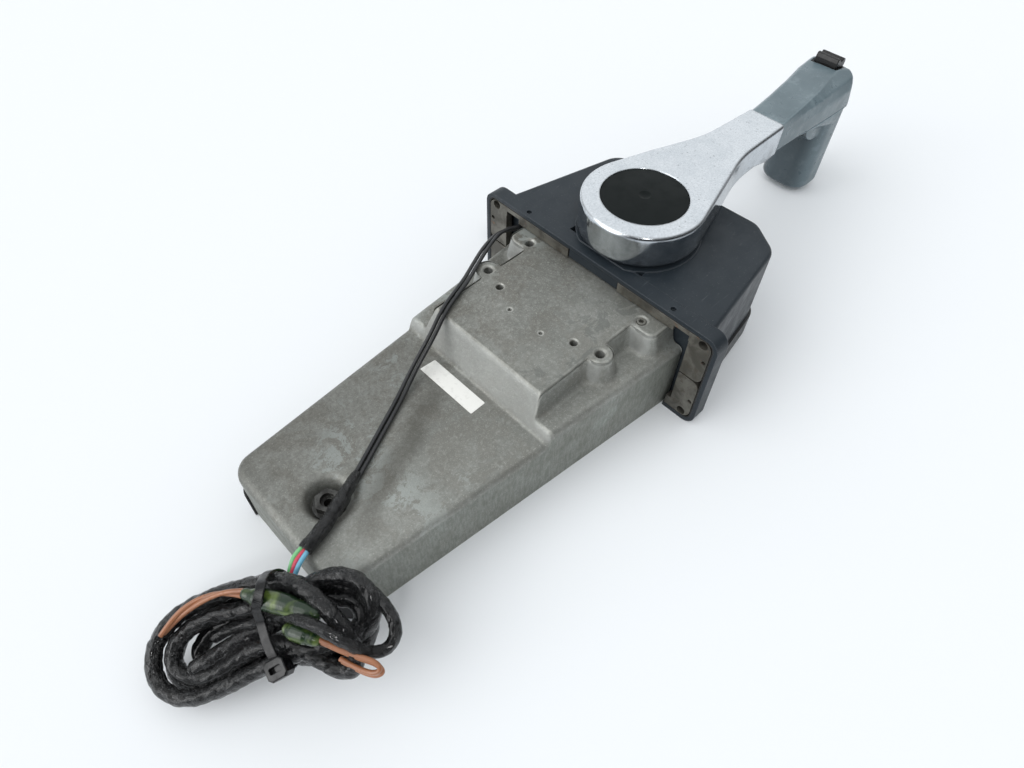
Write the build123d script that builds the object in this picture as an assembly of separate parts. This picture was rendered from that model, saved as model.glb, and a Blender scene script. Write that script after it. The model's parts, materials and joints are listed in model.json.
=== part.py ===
from build123d import *
import math
import os

# Single-lever boat control, lying on its side as it is stored.
# X runs up the control, from the cable end of the case to the hand grip, and is 0 at the deck face.
# Y runs fore and aft, +Y forward.  Z is the lever shaft, + towards the lever.
# The origin is the centre of the four deck bolts, on the deck face.

# ---- deck flange ----
flange_length = 170.0
flange_width = 68.5
flange_thickness = 10.3
flange_corner = 7.5
rim_wall = 2.4
recess_depth = 6.8
bolt_inset_y = 9.0
bolt_inset_z = 6.25
bolt_hole = 5.5
locator_inset_y = 5.7
locator_inset_z = 17.45
locator_hole = 2.6
edge_hole = 3.2
edge_hole_inset = 32.3
edge_hole_x = 3.8
plate_out = 0.0
mount_plate_thick = 4.6
plate_leg = 13.6
plate_case_gap = 1.3
plate_start_fore = 17.9
plate_start_aft = 18.6

# ---- cast case ----
case_length = 207.5
case_end_half = 43.3
case_root_half = 63.2
case_in_flange = 6.0
case_corner = 10.0
case_wall = 3.6
plateau_height = 38.2
ledge_height = 44.9
pad_height = 58.4
step_x = -88.3
ramp_run = 8.5
pad_half = 39.6
pad_hole_half = 41.8
lobe_x = -38.9
lobe_radius = 7.0
tab_x = -6.3
tab_half = 54.0
tab_width = 12.4
tap_radius = 2.5
tap_depth = 12.0
tap_rim = 3.7
nut_x = -183.2
nut_y = -3.1
dish_radius = 12.5
dish_depth = 4.6
nut_pocket_radius = 8.6
nut_pocket_depth = 8.0
boot_height = 19.5
boot_reach = 8.5
boot_proud = 1.2

# ---- back cover of the case ----
back_cover_wall = 3.5
back_cover_inset = 0.5
cover_gap = 0.25

# ---- tower: cast bracket, plastic housing and rear cover ----
bracket_length = 72.0
bracket_half = 36.0
bracket_low = -26.0
bracket_high = 24.0
bracket_wall = 3.4
tower_length = 93.6
tower_inset_aft = 9.0
tower_inset_fore = 13.8
tower_shoulder_aft = (80.5, -63.6)
tower_shoulder_fore = (82.0, 55.6)
tower_top_aft = -44.0
tower_top_fore = 42.0
tower_top_slant = 3.0
tower_corner = 13.0
tower_wall = 2.8
rear_split = -14.0
rear_bulge = 1.6
rear_bottom = -33.2
channel_depth = 3.8
boss_radius = 35.6
boss_rise = 0.6
thrust_ring_radius = 29.0

# ---- lever ----
hub_x = 38.5
hub_radius = 35.1
hub_gap = 4.1
hub_height = 19.0
cap_radius = 24.1
cap_gap = 0.4
cap_pocket = 11.0
button_travel = 3.5
button_skin = 3.0
arm_length = 118.0
arm_half = 12.9
arm_drop = 2.8
arm_belly = 3.9
shaft_radius = 8.0
running_gap = 0.05
bush_wall = 2.6

# ---- hand grip ----
grip_root_x = 157.5
grip_seam_z = 37.0
grip_seam_drop = 6.2
grip_x = 238.6
grip_y = 5.2
grip_half_x = 16.2
grip_half_y = 18.3
grip_corner = 12.5
grip_bottom = -30.3
grip_arch = 19.0
grip_lean = 9.0
rocker_long = 18.0
rocker_deep = 13.6
rocker_high = 6.0
rocker_tilt = 11.0

# ---- gears and arms ----
gear_module = 3.0
drive_teeth = 16
driven_teeth = 24
gear_low = -20.0
gear_face = 8.0
gear_backlash = 0.35
crank_radius = 20.0
crank_pin_radius = 3.0
arm_pivot_x = -95.0
arm_pivot_half = 18.0
cable_arm_length = 30.0
pivot_radius = 4.0
plate_thickness = 4.0
link_half = 4.5
shift_link_low = -27.0
shift_arm_low = -21.0
throttle_arm_low = -14.0
throttle_link_low = -8.0

# ---- lead and harness ----
lead_diameter = 2.2
lead_spacing = 2.56
hank_thickness = 16.0

# ---- places and routes ----
pad_holes = [
    (tab_x, pad_hole_half), (tab_x, -pad_hole_half),
    (lobe_x, pad_hole_half), (lobe_x, -pad_hole_half),
]
plate_holes = [(17.0, 27.6), (17.0, -27.6), (63.6, 26.6), (63.6, -26.6)]
shell_holes = [(30.0, 28.0), (30.0, -28.0)]
small_pad_holes = [(-43.5, 27.6), (-43.5, -27.6)]
pin_marks = [(-51.3, 11.5), (-51.3, -11.5)]
lead_y = 56.6
lead_z = 21.5
grommet_radius = 4.6
rear_posts = [(24.0, 60.0), (24.0, -64.0), (78.0, 42.0), (78.0, -48.0)]
rocker_x = 246.4
rocker_y = 9.4
rocker_z = 53.2
switch_x = -21.5
switch_y = -44.2
lead_route = [
    (9.5, 56.6, 21.5), (2.0, 56.6, 21.5), (-5.0, 60.6, 21.8), (-13.5, 61.3, 22.6), (-27.9, 55.8, 24.4),
    (-42.6, 48.3, 26.0), (-55.5, 42.0, 26.0), (-70.6, 36.7, 26.0), (-80.5, 32.3, 25.9), (-90.0, 28.6, 21.2),
    (-98.7, 26.7, 15.6), (-111.0, 23.3, 8.6), (-124.3, 17.0, 5.4), (-143.9, 7.2, 5.3), (-161.7, -1.9, 5.3),
    (-174.0, -8.2, 6.2),
]
sleeve_points = [(-174.3, -8.4, 7.9), (-190.0, -15.6, 7.6), (-204.5, -19.6, 7.2)]
core_wire_radius = 1.1
hank_centre = (-242.0, -34.0, -9.5)
hank_heading = (0.77, -0.64)
hank_rise_along = 0.3
hank_rise_across = 0.5
hank_outline = [
    (-54, -3), (-41, 18), (-10, 25), (25, 26.5), (52, 20), (58, 1),
    (46, -17.5), (26, -17), (8, -11), (-12, -16), (-34, -19.5), (-49, -13),
]
tie_along = 8.0
tie_width = 4.6
tie_skin = 1.2
bullet_ends = [((4.0, 21.8), (36.0, 8.1)), ((20.0, 5.3), (33.0, -1.2))]
bullet_radii = [4.6, 3.9]
brown_diameter = 2.2
brown_left = [
    (3.0, 22.1, 12.4), (-4.0, 23.6, 11.2), (-13.0, 24.0, 9.6), (-23.0, 21.8, 9.4), (-32.0, 17.6, 9.4),
    (-39.0, 11.6, 9.4),
]
brown_right = [
    (34.0, -1.8, 11.4), (39.0, -5.0, 10.8), (44.5, -8.4, 10.0), (50.0, -11.2, 9.6), (54.6, -13.6, 9.0),
    (54.8, -17.4, 7.6), (50.6, -18.4, 6.4),
]

# ---- values that follow ----
bolt_pitch_y = flange_length - 2 * bolt_inset_y
bolt_pitch_z = flange_width - 2 * bolt_inset_z
locator_pitch_y = flange_length - 2 * locator_inset_y
locator_pitch_z = flange_width - 2 * locator_inset_z
edge_hole_pitch = flange_length - 2 * edge_hole_inset
tower_root_aft = tower_inset_aft - flange_length / 2
tower_root_fore = flange_length / 2 - tower_inset_fore
floor_z = -flange_width / 2
face_z = flange_width / 2
plateau_z = floor_z + plateau_height
ledge_z = floor_z + ledge_height
pad_z = floor_z + pad_height
cover_top = floor_z + back_cover_inset + back_cover_wall
channel_z = face_z - channel_depth
boss_z = face_z + boss_rise
hub_low = face_z + hub_gap
hub_top = hub_low + hub_height
pocket_z = hub_top - cap_pocket
gear_centres = gear_module * (drive_teeth + driven_teeth) / 2
driven_x = hub_x - gear_centres
gear_ratio = drive_teeth / driven_teeth
case_slope = (case_root_half - case_end_half) / (case_length + case_in_flange)
UP = (0, 0, 1)


# ---- small makers ----
def prism(outline, low, high, corner=0.0):
    """Upright prism on an XY outline, with all its corners rounded alike."""
    face = Polygon(*outline)
    if corner:
        face = fillet(face.vertices(), corner)
    return extrude(Plane.XY.offset(low) * face, high - low, dir=UP)


def block(x0, x1, y0, y1, z0, z1):
    """Box between two corners."""
    return Pos((x0 + x1) / 2, (y0 + y1) / 2, (z0 + z1) / 2) * Box(x1 - x0, y1 - y0, z1 - z0)


def rod(x, y, low, high, radius):
    """Upright cylinder."""
    return Pos(x, y, (low + high) / 2) * Cylinder(radius, high - low)


def tube(x, y, low, high, outer, inner):
    """Upright tube."""
    return rod(x, y, low, high, outer) - rod(x, y, low - 1, high + 1, inner)


def rod_x(x0, x1, y, z, radius):
    """Cylinder along X."""
    return Pos((x0 + x1) / 2, y, z) * Rot(0, 90, 0) * Cylinder(radius, x1 - x0)


def slab_x(outline, x0, x1, corner=0.0):
    """Plate square to X on a YZ outline."""
    face = Polygon(*outline)
    if corner:
        face = fillet(face.vertices(), corner)
    return extrude(Plane.YZ.offset(x0) * face, x1 - x0, dir=(1, 0, 0))


def side_cut(outline, half):
    """Plate square to Y on an XZ outline, that far to both sides."""
    face = Plane.XZ * Polygon(*outline)
    return extrude(face, half, both=True)


def save(name, *solids):
    """Write one node: every solid of it is a piece of its own."""
    pieces = [s for shape in solids for s in shape.solids()]
    shape = pieces[0] if len(pieces) == 1 else Compound(children=pieces)
    shape.label = name
    export_step(shape, f"parts/{name}.step")


# ---- cast case ----
def case_plan(inset, end, root):
    """Tapered outline of the case, inset all round, from the end wall to root."""
    def half(x):
        return case_end_half + case_slope * (x + case_length) - inset
    return [(end, -half(end)), (root, -half(root)), (root, half(root)), (end, half(end))]


def case_body(inset, low, root):
    """Long box of the case with its low plateau, small ramp and ledge, inset by a wall."""
    end = -case_length + inset
    corner = max(case_corner - inset, 2.0)
    plan = Polygon(*case_plan(inset, end, root))
    far = plan.vertices().sort_by(Axis.X)[:2]
    plan = fillet(far, corner)
    body = extrude(Plane.XY.offset(low) * plan, ledge_z - inset - low, dir=UP)
    small_run = ramp_run * (ledge_z - plateau_z) / (pad_z - plateau_z)
    top = plateau_z - inset
    side = [
        (end - 1, low - 1), (root + 1, low - 1), (root + 1, ledge_z - inset),
        (step_x + small_run + inset, ledge_z - inset), (step_x + inset, top), (end - 1, top),
    ]
    return body & side_cut(side, 2 * case_root_half)


def pad_body(inset, low, root):
    """Raised pad with its steep front ramp."""
    half = pad_half - inset
    plan = [(step_x, -half), (root, -half), (root, half), (step_x, half)]
    side = [
        (step_x + inset, low), (root, low), (root, pad_z - inset),
        (step_x + ramp_run + inset, pad_z - inset), (step_x + inset, plateau_z),
    ]
    return prism(plan, low, pad_z - inset) & side_cut(side, 2 * case_root_half)


def pad_lobes():
    """Screw lobes and end tabs that stand out from the pad's side walls."""
    lobes = []
    for side in (-1, 1):
        lobes.append(rod(lobe_x, side * pad_hole_half, ledge_z - 2, pad_z, lobe_radius))
        y_in, y_out = sorted((side * (pad_half - 2), side * tab_half))
        tab = block(tab_x - tab_width / 2, case_in_flange, y_in, y_out, ledge_z - 2, pad_z)
        outer = [e for e in tab.edges().filter_by(Axis.Z) if abs(e.center().Y) > tab_half - 1]
        lobes.append(fillet(outer, tab_width * 0.42))
    return lobes


def cover_posts():
    """Where the back cover's screws stand, inside the case wall."""
    spots = [(-case_length + 16, 0.0)]
    for x in (-150.0, -60.0, -8.0):
        half = case_end_half + case_slope * (x + case_length) - case_wall - 6.5
        spots += [(x, half), (x, -half)]
    return spots


def case_casting():
    """The casting: case, pad, lobes, screw posts, pivots and the bracket in the tower."""
    outer = case_body(0, floor_z, case_in_flange)
    rim = [e for e in outer.edges() if e.center().Z > plateau_z - 1 and e.center().X < case_in_flange - 1]
    rim = [e for e in rim if abs(e.center().Y) > case_end_half - case_corner or e.center().X < step_x - 20]
    outer = fillet([e for e in rim if abs(e.tangent_at(0.5).Z) < 0.5], 3.2)
    pad = pad_body(0, floor_z + 10, case_in_flange)
    shell = outer + pad
    for lobe in pad_lobes():
        shell += lobe
    bracket = block(0, bracket_length, -bracket_half, bracket_half, bracket_low, bracket_high)
    bracket = fillet(bracket.edges().filter_by(Axis.Z).group_by(Axis.X)[-1], 8)
    shell += bracket

    hollow = case_body(case_wall, floor_z - 1, case_in_flange - case_wall)
    hollow += pad_body(case_wall, floor_z + 12, case_in_flange - case_wall)
    hollow += block(
        -20, bracket_length - bracket_wall, -bracket_half + bracket_wall, bracket_half - bracket_wall,
        bracket_low - 1, bracket_high - bracket_wall,
    )
    shell -= hollow

    roof = pad_z - case_wall / 2
    for x, y in pad_holes + small_pad_holes:
        shell += rod(x, y, pad_z - 14, roof, lobe_radius - 1.2)
    shell += rod(nut_x, nut_y, cover_top, plateau_z - 1, dish_radius + 1.5)
    for x, y in cover_posts():
        shell += rod(x, y, cover_top, (plateau_z if x < step_x else ledge_z) - 1, 4.6)
    shell += rod(driven_x, 0, throttle_link_low + plate_thickness + 2, roof, 7.5)
    low_roof = plateau_z - 1
    shell += rod(arm_pivot_x, arm_pivot_half, throttle_arm_low + plate_thickness + 0.4, low_roof, 6.0)
    shell += rod(arm_pivot_x, -arm_pivot_half, shift_arm_low + plate_thickness + 0.4, low_roof, 6.0)
    shell += rod(hub_x, 0, 7, channel_z + 2.4, shaft_radius + bush_wall + 5)
    for x, y in plate_holes:
        shell += rod(x, y, bracket_low, bracket_high - 1, 4.4)
        shell -= rod(x, y, bracket_low - 1, bracket_low + 9, 1.5)
    for x, y in shell_holes:
        shell -= rod(x, y, 10, bracket_high + 1, 2.0)

    for x, y in pad_holes:
        depth = tap_depth if x > lobe_x + 1 else tap_depth - 1.5
        shell -= rod(x, y, pad_z - depth, pad_z + 1, tap_radius)
        shell -= Pos(x, y, pad_z - 0.5) * Cone(tap_radius, tap_rim, 1.01)
    for x, y in small_pad_holes:
        shell -= rod(x, y, pad_z - 11, pad_z + 1, tap_radius - 0.4)
        shell -= Pos(x, y, pad_z - 0.3) * Cone(tap_radius - 0.4, tap_rim - 0.9, 0.61)
    for x, y in pin_marks:
        shell -= rod(x, y, pad_z - 2.5, pad_z + 1, 1.1)
    dish = Pos(nut_x, nut_y, plateau_z - dish_depth / 2) * Cone(nut_pocket_radius, dish_radius, dish_depth)
    shell -= dish
    shell -= rod(nut_x, nut_y, plateau_z - nut_pocket_depth, plateau_z, nut_pocket_radius)
    shell -= rod(nut_x, nut_y, floor_z, plateau_z, 3.1)
    for x, y in cover_posts():
        shell -= rod(x, y, cover_top - 1, cover_top + 10, 1.7)
    shell -= rod(driven_x, 0, floor_z, roof - 2, pivot_radius + 0.02)
    for y in (-arm_pivot_half, arm_pivot_half):
        shell -= rod(arm_pivot_x, y, floor_z, low_roof - 1, pivot_radius + 0.02)
    shell -= rod(hub_x, 0, 0, channel_z + 5, shaft_radius + bush_wall + 0.02)
    for side in (-1, 1):
        shell -= boot_box(side, 0.0)
    return shell


def boot_box(side, gap):
    """Corner of the end wall that a cable boot fills."""
    y_in = side * (case_end_half - boot_reach + gap)
    y_out = side * (case_end_half + 8)
    low, high = sorted((y_in, y_out))
    x_in = -case_length + case_corner + 2 - gap
    return block(-case_length - 5, x_in, low, high, floor_z - 1, floor_z + boot_height - gap)


def cable_boots():
    """Moulded boots that close the two cable ways at the end corners."""
    end = -case_length
    plan = Polygon(*case_plan(-boot_proud, end - boot_proud, -150.0))
    plan = fillet(plan.vertices().sort_by(Axis.X)[:2], case_corner + boot_proud)
    core = Polygon(*case_plan(case_wall + 0.6, end + case_wall + 0.6, -150.0))
    core = fillet(core.vertices().sort_by(Axis.X)[:2], case_corner - case_wall)
    low = floor_z + 0.6
    ring = extrude(Plane.XY.offset(low) * (plan - core), boot_height, dir=UP)
    return [ring & boot_box(side, 0.2) for side in (-1, 1)]


def back_cover():
    """Plate that closes the case from behind, inside its rim."""
    inset = case_wall + cover_gap
    end = -case_length + inset
    plan = Polygon(*case_plan(inset, end, case_in_flange - inset))
    plan = fillet(plan.vertices().sort_by(Axis.X)[:2], case_corner - case_wall)
    plate = extrude(Plane.XY.offset(floor_z + back_cover_inset) * plan, back_cover_wall, dir=UP)
    for x, y in cover_posts():
        plate -= rod(x, y, floor_z, cover_top + 1, 2.1)
        plate -= Pos(x, y, floor_z + back_cover_inset + 1.0) * Cone(4.1, 2.1, 2.01)
    plate -= rod(driven_x, 0, cover_top - 2, cover_top + 1, pivot_radius + 0.02)
    for side in (-1, 1):
        plate -= boot_box(side, -0.3)
    return plate


def countersunk_screw(x, y, low, length, head, shank):
    """Screw with its countersunk head at the bottom and a cross slot."""
    cone = Pos(x, y, low + head * 0.25) * Cone(head, head * 0.5, head * 0.5)
    body = cone + rod(x, y, low, low + length, shank)
    slot = block(x - head * 0.6, x + head * 0.6, y - 0.35, y + 0.35, low - 1, low + 0.8)
    cross = block(x - 0.35, x + 0.35, y - head * 0.6, y + head * 0.6, low - 1, low + 0.8)
    return body - slot - cross


def sleeve_nut():
    """Flanged hexagon sleeve at the bottom of its round recess."""
    base = plateau_z - nut_pocket_depth
    nut = rod(nut_x, nut_y, base, base + 1.4, nut_pocket_radius - 0.5)
    hexagon = RegularPolygon(6.6, 6)
    nut += extrude(Pos(nut_x, nut_y, base + 1.4) * hexagon, 4.4)
    nut += rod(nut_x, nut_y, base - 12, base, 3.0)
    return nut - rod(nut_x, nut_y, base - 2, base + 8, 2.2) - rod(nut_x, nut_y, base + 3, base + 8, 3.6)


def pad_plug():
    """Socket screw that fills the aft tab's hole."""
    x, y = pad_holes[1]
    plug = rod(x, y, pad_z - 11, pad_z - 0.2, tap_radius - 0.02)
    socket = extrude(Pos(x, y, pad_z - 2.6) * RegularPolygon(1.5, 6), 3)
    return plug - socket


# ---- deck flange and tower ----
def tower_plan(grow):
    """Tower outline, grown all round; steeper forward than aft."""
    points = [
        (flange_thickness - 1, tower_root_aft), tower_shoulder_aft, (tower_length, tower_top_aft),
        (tower_length - tower_top_slant, tower_top_fore), tower_shoulder_fore,
        (flange_thickness - 1, tower_root_fore),
    ]
    face = Polygon(*points)
    far = [v for v in face.vertices() if v.X > 70]
    face = fillet(far, tower_corner)
    return offset(face, grow) if grow else face


def channel_plan(grow):
    """Shallow channel along the tower's face, narrower at the top."""
    low, high = flange_thickness - grow, tower_length + 5
    return [(low, -25.8 - grow), (high, -19.0 - grow), (high, 20.0 + grow), (low, 26.7 + grow)]


def housing():
    """One moulding: flange tray with its rim, tower shell, channel and shaft boss."""
    half_y, half_z = flange_length / 2, flange_width / 2
    outline = [(-half_y, -half_z), (half_y, -half_z), (half_y, half_z), (-half_y, half_z)]
    tray = slab_x(outline, 0, flange_thickness, flange_corner)
    tray = fillet(tray.edges().group_by(Axis.X)[-1], 1.6)
    inner = [
        (-half_y + rim_wall, -half_z + rim_wall), (half_y - rim_wall, -half_z + rim_wall),
        (half_y - rim_wall, half_z - rim_wall), (-half_y + rim_wall, half_z - rim_wall),
    ]
    tray -= slab_x(inner, -1, recess_depth, flange_corner - rim_wall)

    tower = extrude(Plane.XY.offset(rear_split) * tower_plan(0), face_z - rear_split, dir=UP)
    rim = [e for e in tower.edges().group_by(Axis.Z)[-1] if e.center().X > flange_thickness]
    tower = fillet(rim, 2.6)
    tower &= block(recess_depth, tower_length + 1, -90, 90, rear_split, face_z)
    body = tray + tower
    body -= prism(channel_plan(0), channel_z, face_z + 1)
    body += rod(hub_x, 0, channel_z - 1, boss_z, boss_radius) & block(recess_depth, 200, -60, 60, 0, 60)

    core = offset(tower_plan(0), -tower_wall)
    shell_top = face_z - tower_wall
    cavity = extrude(Plane.XY.offset(rear_split - 30) * core, shell_top - rear_split + 30, dir=UP)
    cavity -= prism(channel_plan(tower_wall), channel_z - tower_wall, face_z + 1)
    cavity -= rod(hub_x, 0, channel_z - tower_wall, face_z + 1, boss_radius + tower_wall)
    cavity &= block(flange_thickness, 200, -90, 90, -60, 60)
    body -= cavity

    way = 0.6
    body -= block(
        -1, flange_thickness + tower_wall + 0.5, -bracket_half - way, bracket_half + way,
        bracket_low - way, bracket_high + way,
    )
    body -= block(-1, recess_depth, -case_root_half - 0.7, case_root_half + 0.7, floor_z - 1, 0)
    tongue_low = pad_z + 1.2
    body += block(0.6, recess_depth + 0.5, -18.0, 17.4, tongue_low, half_z - rim_wall + 0.3)
    body -= rod(hub_x, 0, 0, boss_z + 1, shaft_radius + bush_wall + 5.4)
    for y in (-1, 1):
        for z in (-1, 1):
            hole = (y * bolt_pitch_y / 2, z * bolt_pitch_z / 2)
            body -= rod_x(-1, flange_thickness + 1, *hole, bolt_hole / 2)
        hole = rod(edge_hole_x, y * edge_hole_pitch / 2, face_z - 1.9, face_z + 1, edge_hole / 2)
        body -= hole
    body -= rod_x(recess_depth - 1, flange_thickness + tower_wall + 0.5, lead_y, lead_z, grommet_radius)
    return body


def rear_cover():
    """Tray that closes the tower from behind, a little larger than the shell above it."""
    outline = tower_plan(rear_bulge)
    top = rear_split - 0.3
    tray = extrude(Plane.XY.offset(rear_bottom) * outline, top - rear_bottom, dir=UP)
    tray &= block(flange_thickness, 200, -90, 90, -60, 60)
    edge = [e for e in tray.edges().group_by(Axis.Z)[0] if e.center().X > flange_thickness + 1]
    tray = fillet(edge, 4.5)
    core = offset(tower_plan(0), -tower_wall)
    cavity = extrude(Plane.XY.offset(rear_bottom + tower_wall) * core, 60, dir=UP)
    cavity &= block(flange_thickness + tower_wall, 200, -90, 90, -60, 60)
    tray -= cavity
    tray -= block(0, flange_thickness + 10, -bracket_half - 0.6, bracket_half + 0.6, bracket_low - 3.8, 0)
    for x, y in rear_posts:
        tray += rod(x, y, rear_bottom + 1, top, 4.4)
        tray -= rod(x, y, rear_bottom - 1, top + 1, 1.9)
        tray -= rod(x, y, rear_bottom - 1, rear_bottom + 2.2, 3.6)
    return tray


def with_posts(shell):
    """The housing with its screw posts: four for the rear cover, two for the bracket."""
    for x, y in rear_posts:
        shell += rod(x, y, rear_split, face_z - 1, 4.4)
    for x, y in shell_holes:
        shell += rod(x, y, bracket_high + 0.3, face_z - 2, 4.4)
    for x, y in rear_posts:
        shell -= rod(x, y, rear_split - 1, rear_split + 24, 1.6)
    for x, y in shell_holes:
        shell -= rod(x, y, bracket_high, bracket_high + 6.2, 1.7)
    return shell


def mount_plates():
    """Four metal plates in the flange recess that spread the deck bolts' load."""
    out_y = flange_length / 2 - rim_wall - 1.2
    out_z = flange_width / 2 - rim_wall - 1.0
    leg_y = max(out_y - plate_leg, case_root_half + plate_case_gap)
    strip_low = pad_z + 0.6
    plates = []
    for side in (1, -1):
        start = plate_start_fore if side > 0 else plate_start_aft
        upper = [
            (side * start, strip_low), (side * leg_y, strip_low), (side * leg_y, 0.6), (side * out_y, 0.6),
            (side * out_y, out_z), (side * start, out_z),
        ]
        plate = slab_x(upper, plate_out, plate_out + mount_plate_thick)
        plate = round_uprights(plate, side * out_y, out_z, 5.5)
        plate = round_uprights(plate, side * out_y, 0.6, 4.5)
        notch_y = sorted((side * (leg_y - 0.5), side * (leg_y - 10.5)))
        notch = block(-1, 6, *notch_y, strip_low - 1, strip_low + 3.4)
        plate -= notch
        foot_y = case_root_half + 1.6
        lower = [
            (side * foot_y, -out_z), (side * out_y, -out_z), (side * out_y, -0.6), (side * leg_y, -0.6),
            (side * leg_y, -24.0), (side * foot_y, -24.0),
        ]
        low_plate = slab_x(lower, plate_out, plate_out + mount_plate_thick)
        low_plate = round_uprights(low_plate, side * out_y, -out_z, 5.5)
        low_plate = round_uprights(low_plate, side * out_y, -0.6, 4.5)
        for piece, z in ((plate, 1), (low_plate, -1)):
            piece -= rod_x(-1, 6, side * bolt_pitch_y / 2, z * bolt_pitch_z / 2, bolt_hole / 2)
            piece -= rod_x(-1, 6, side * locator_pitch_y / 2, z * locator_pitch_z / 2, locator_hole / 2)
            plates.append(piece)
    return plates


def round_uprights(plate, y, z, radius):
    """Round the one edge along X that stands at this y and z."""
    edges = [
        e for e in plate.edges().filter_by(Axis.X)
        if abs(e.center().Y - y) < 0.1 and abs(e.center().Z - z) < 0.1
    ]
    return fillet(edges, radius)


def deck_gasket():
    """Rubber lip between the rim and the mount plates."""
    half_y = flange_length / 2 - rim_wall - 0.05
    half_z = flange_width / 2 - rim_wall - 0.05
    outer = [(-half_y, -half_z), (half_y, -half_z), (half_y, half_z), (-half_y, half_z)]
    ring = slab_x(outer, 0.2, 5.0, flange_corner - rim_wall)
    wall = 0.8
    inner = [
        (-half_y + wall, -half_z + wall), (half_y - wall, -half_z + wall),
        (half_y - wall, half_z - wall), (-half_y + wall, half_z - wall),
    ]
    ring -= slab_x(inner, -1, 6, flange_corner - rim_wall - wall)
    ring -= block(-1, 6, -case_root_half - 0.8, case_root_half + 0.8, floor_z - 1, 0)
    return ring - block(-1, 6, -18.2, 17.6, 0, face_z)


def plate_screws():
    """Small screws in the locating holes of the plates."""
    screws = []
    for side in (-1, 1):
        for z in (-1, 1):
            y = side * locator_pitch_y / 2
            screws.append(rod_x(1.9, recess_depth, y, z * locator_pitch_z / 2, locator_hole / 2 - 0.05))
    return screws


# ---- gears ----
def gear_outline(teeth, phase):
    """Involute gear outline: per tooth a root point, two flanks of the involute and a tip."""
    pitch = gear_module * teeth / 2
    base = pitch * math.cos(math.radians(20))
    tip = pitch + gear_module * 0.95
    root = pitch - gear_module * 1.2
    def involute(radius):
        roll = math.sqrt(max((radius / base) ** 2 - 1, 0))
        return roll - math.atan(roll)
    thin = (math.pi * gear_module / 2 - gear_backlash) / (2 * pitch)
    radii = [max(base, root) + (tip - max(base, root)) * i / 3 for i in range(4)]
    points = []
    for i in range(teeth):
        middle = phase + 2 * math.pi * i / teeth
        flank = [(r, thin + involute(pitch) - involute(r)) for r in radii]
        flank.insert(0, (root, flank[0][1] + 0.02))
        for r, a in flank:
            points.append((r * math.cos(middle - a), r * math.sin(middle - a)))
        for r, a in reversed(flank):
            points.append((r * math.cos(middle + a), r * math.sin(middle + a)))
    return points


def gear(teeth, phase, x, bore):
    """Spur gear between its two faces."""
    face = Pos(x, 0) * Polygon(*gear_outline(teeth, phase))
    wheel = extrude(Plane.XY.offset(gear_low) * face, gear_face, dir=UP)
    return wheel - rod(x, 0, gear_low - 1, gear_low + gear_face + 1, bore)


def drive_gear():
    """Gear keyed on the lever shaft."""
    wheel = gear(drive_teeth, math.pi, hub_x, shaft_radius + 0.02)
    top = gear_low + gear_face
    return wheel + tube(hub_x, 0, top - 1, 4.9, shaft_radius + 4.5, shaft_radius + 0.02)


def link_angle(side):
    """Direction from the driven gear's axis to an arm's pivot, in radians."""
    return math.atan2(side * arm_pivot_half, arm_pivot_x - driven_x)


def crank_offset(side):
    """Place of a crank pin from its axis, square to the link at neutral."""
    angle = link_angle(side) - side * math.pi / 2
    return crank_radius * math.cos(angle), crank_radius * math.sin(angle)


def driven_gear():
    """Gear with a pin above for the throttle link and one below for the shift link."""
    top = gear_low + gear_face
    hub_bottom = gear_low - 2
    wheel = gear(driven_teeth, math.pi / driven_teeth, driven_x, pivot_radius + running_gap)
    hub_inner = pivot_radius + running_gap
    wheel += tube(driven_x, 0, hub_bottom, gear_low + 1, 8, hub_inner)
    wheel += tube(driven_x, 0, top - 1, top + 2.5, 8, hub_inner)
    for angle in (100, 180, 260):
        spot = math.radians(angle)
        wheel -= rod(
            driven_x + 22 * math.cos(spot) - 1, 22 * math.sin(spot) * 0.55, gear_low - 1, top + 1, 6
        )
    dx, dy = crank_offset(1)
    wheel += rod(driven_x + dx, dy, top - 1, throttle_link_low + plate_thickness, crank_pin_radius)
    dx, dy = crank_offset(-1)
    wheel += rod(driven_x + dx, dy, shift_link_low, gear_low + 1, crank_pin_radius)
    return wheel


def bar(start, end, low, half, thick):
    """Flat bar with round ends between two centres."""
    (x0, y0), (x1, y1) = start, end
    length = math.hypot(x1 - x0, y1 - y0)
    angle = math.degrees(math.atan2(y1 - y0, x1 - x0))
    face = Pos((x0 + x1) / 2, (y0 + y1) / 2) * Rot(0, 0, angle) * SlotCenterToCenter(length, 2 * half)
    return extrude(Plane.XY.offset(low) * face, thick, dir=UP)


def link(side, low):
    """Link from the driven gear's pin to an arm's pin, with an eye at each end."""
    dx, dy = crank_offset(side)
    start = (driven_x + dx, dy)
    end = (arm_pivot_x + dx, side * arm_pivot_half + dy)
    piece = bar(start, end, low, link_half, plate_thickness)
    for x, y in (start, end):
        piece += rod(x, y, low, low + plate_thickness, link_half + 1.0)
        piece -= rod(x, y, low - 1, low + plate_thickness + 1, crank_pin_radius + running_gap)
    return piece


def cable_arm(side, low, pin_end):
    """Arm with its pivot hub, a short lever for the link and a long one for the cable."""
    x, y = arm_pivot_x, side * arm_pivot_half
    dx, dy = crank_offset(side)
    piece = bar((x, y), (x + dx, y + dy), low, 5.5, plate_thickness)
    piece += bar((x, y), (x - cable_arm_length, y), low, 5.0, plate_thickness)
    piece += rod(x, y, low, low + plate_thickness, 9)
    piece -= rod(x, y, low - 1, low + plate_thickness + 1, pivot_radius + running_gap)
    piece -= rod(x - cable_arm_length, y, low - 1, low + plate_thickness + 1, 2.5)
    pin_low, pin_high = sorted((pin_end, low + plate_thickness / 2))
    piece += rod(x + dx, y + dy, pin_low, pin_high, crank_pin_radius)
    return piece


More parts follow.
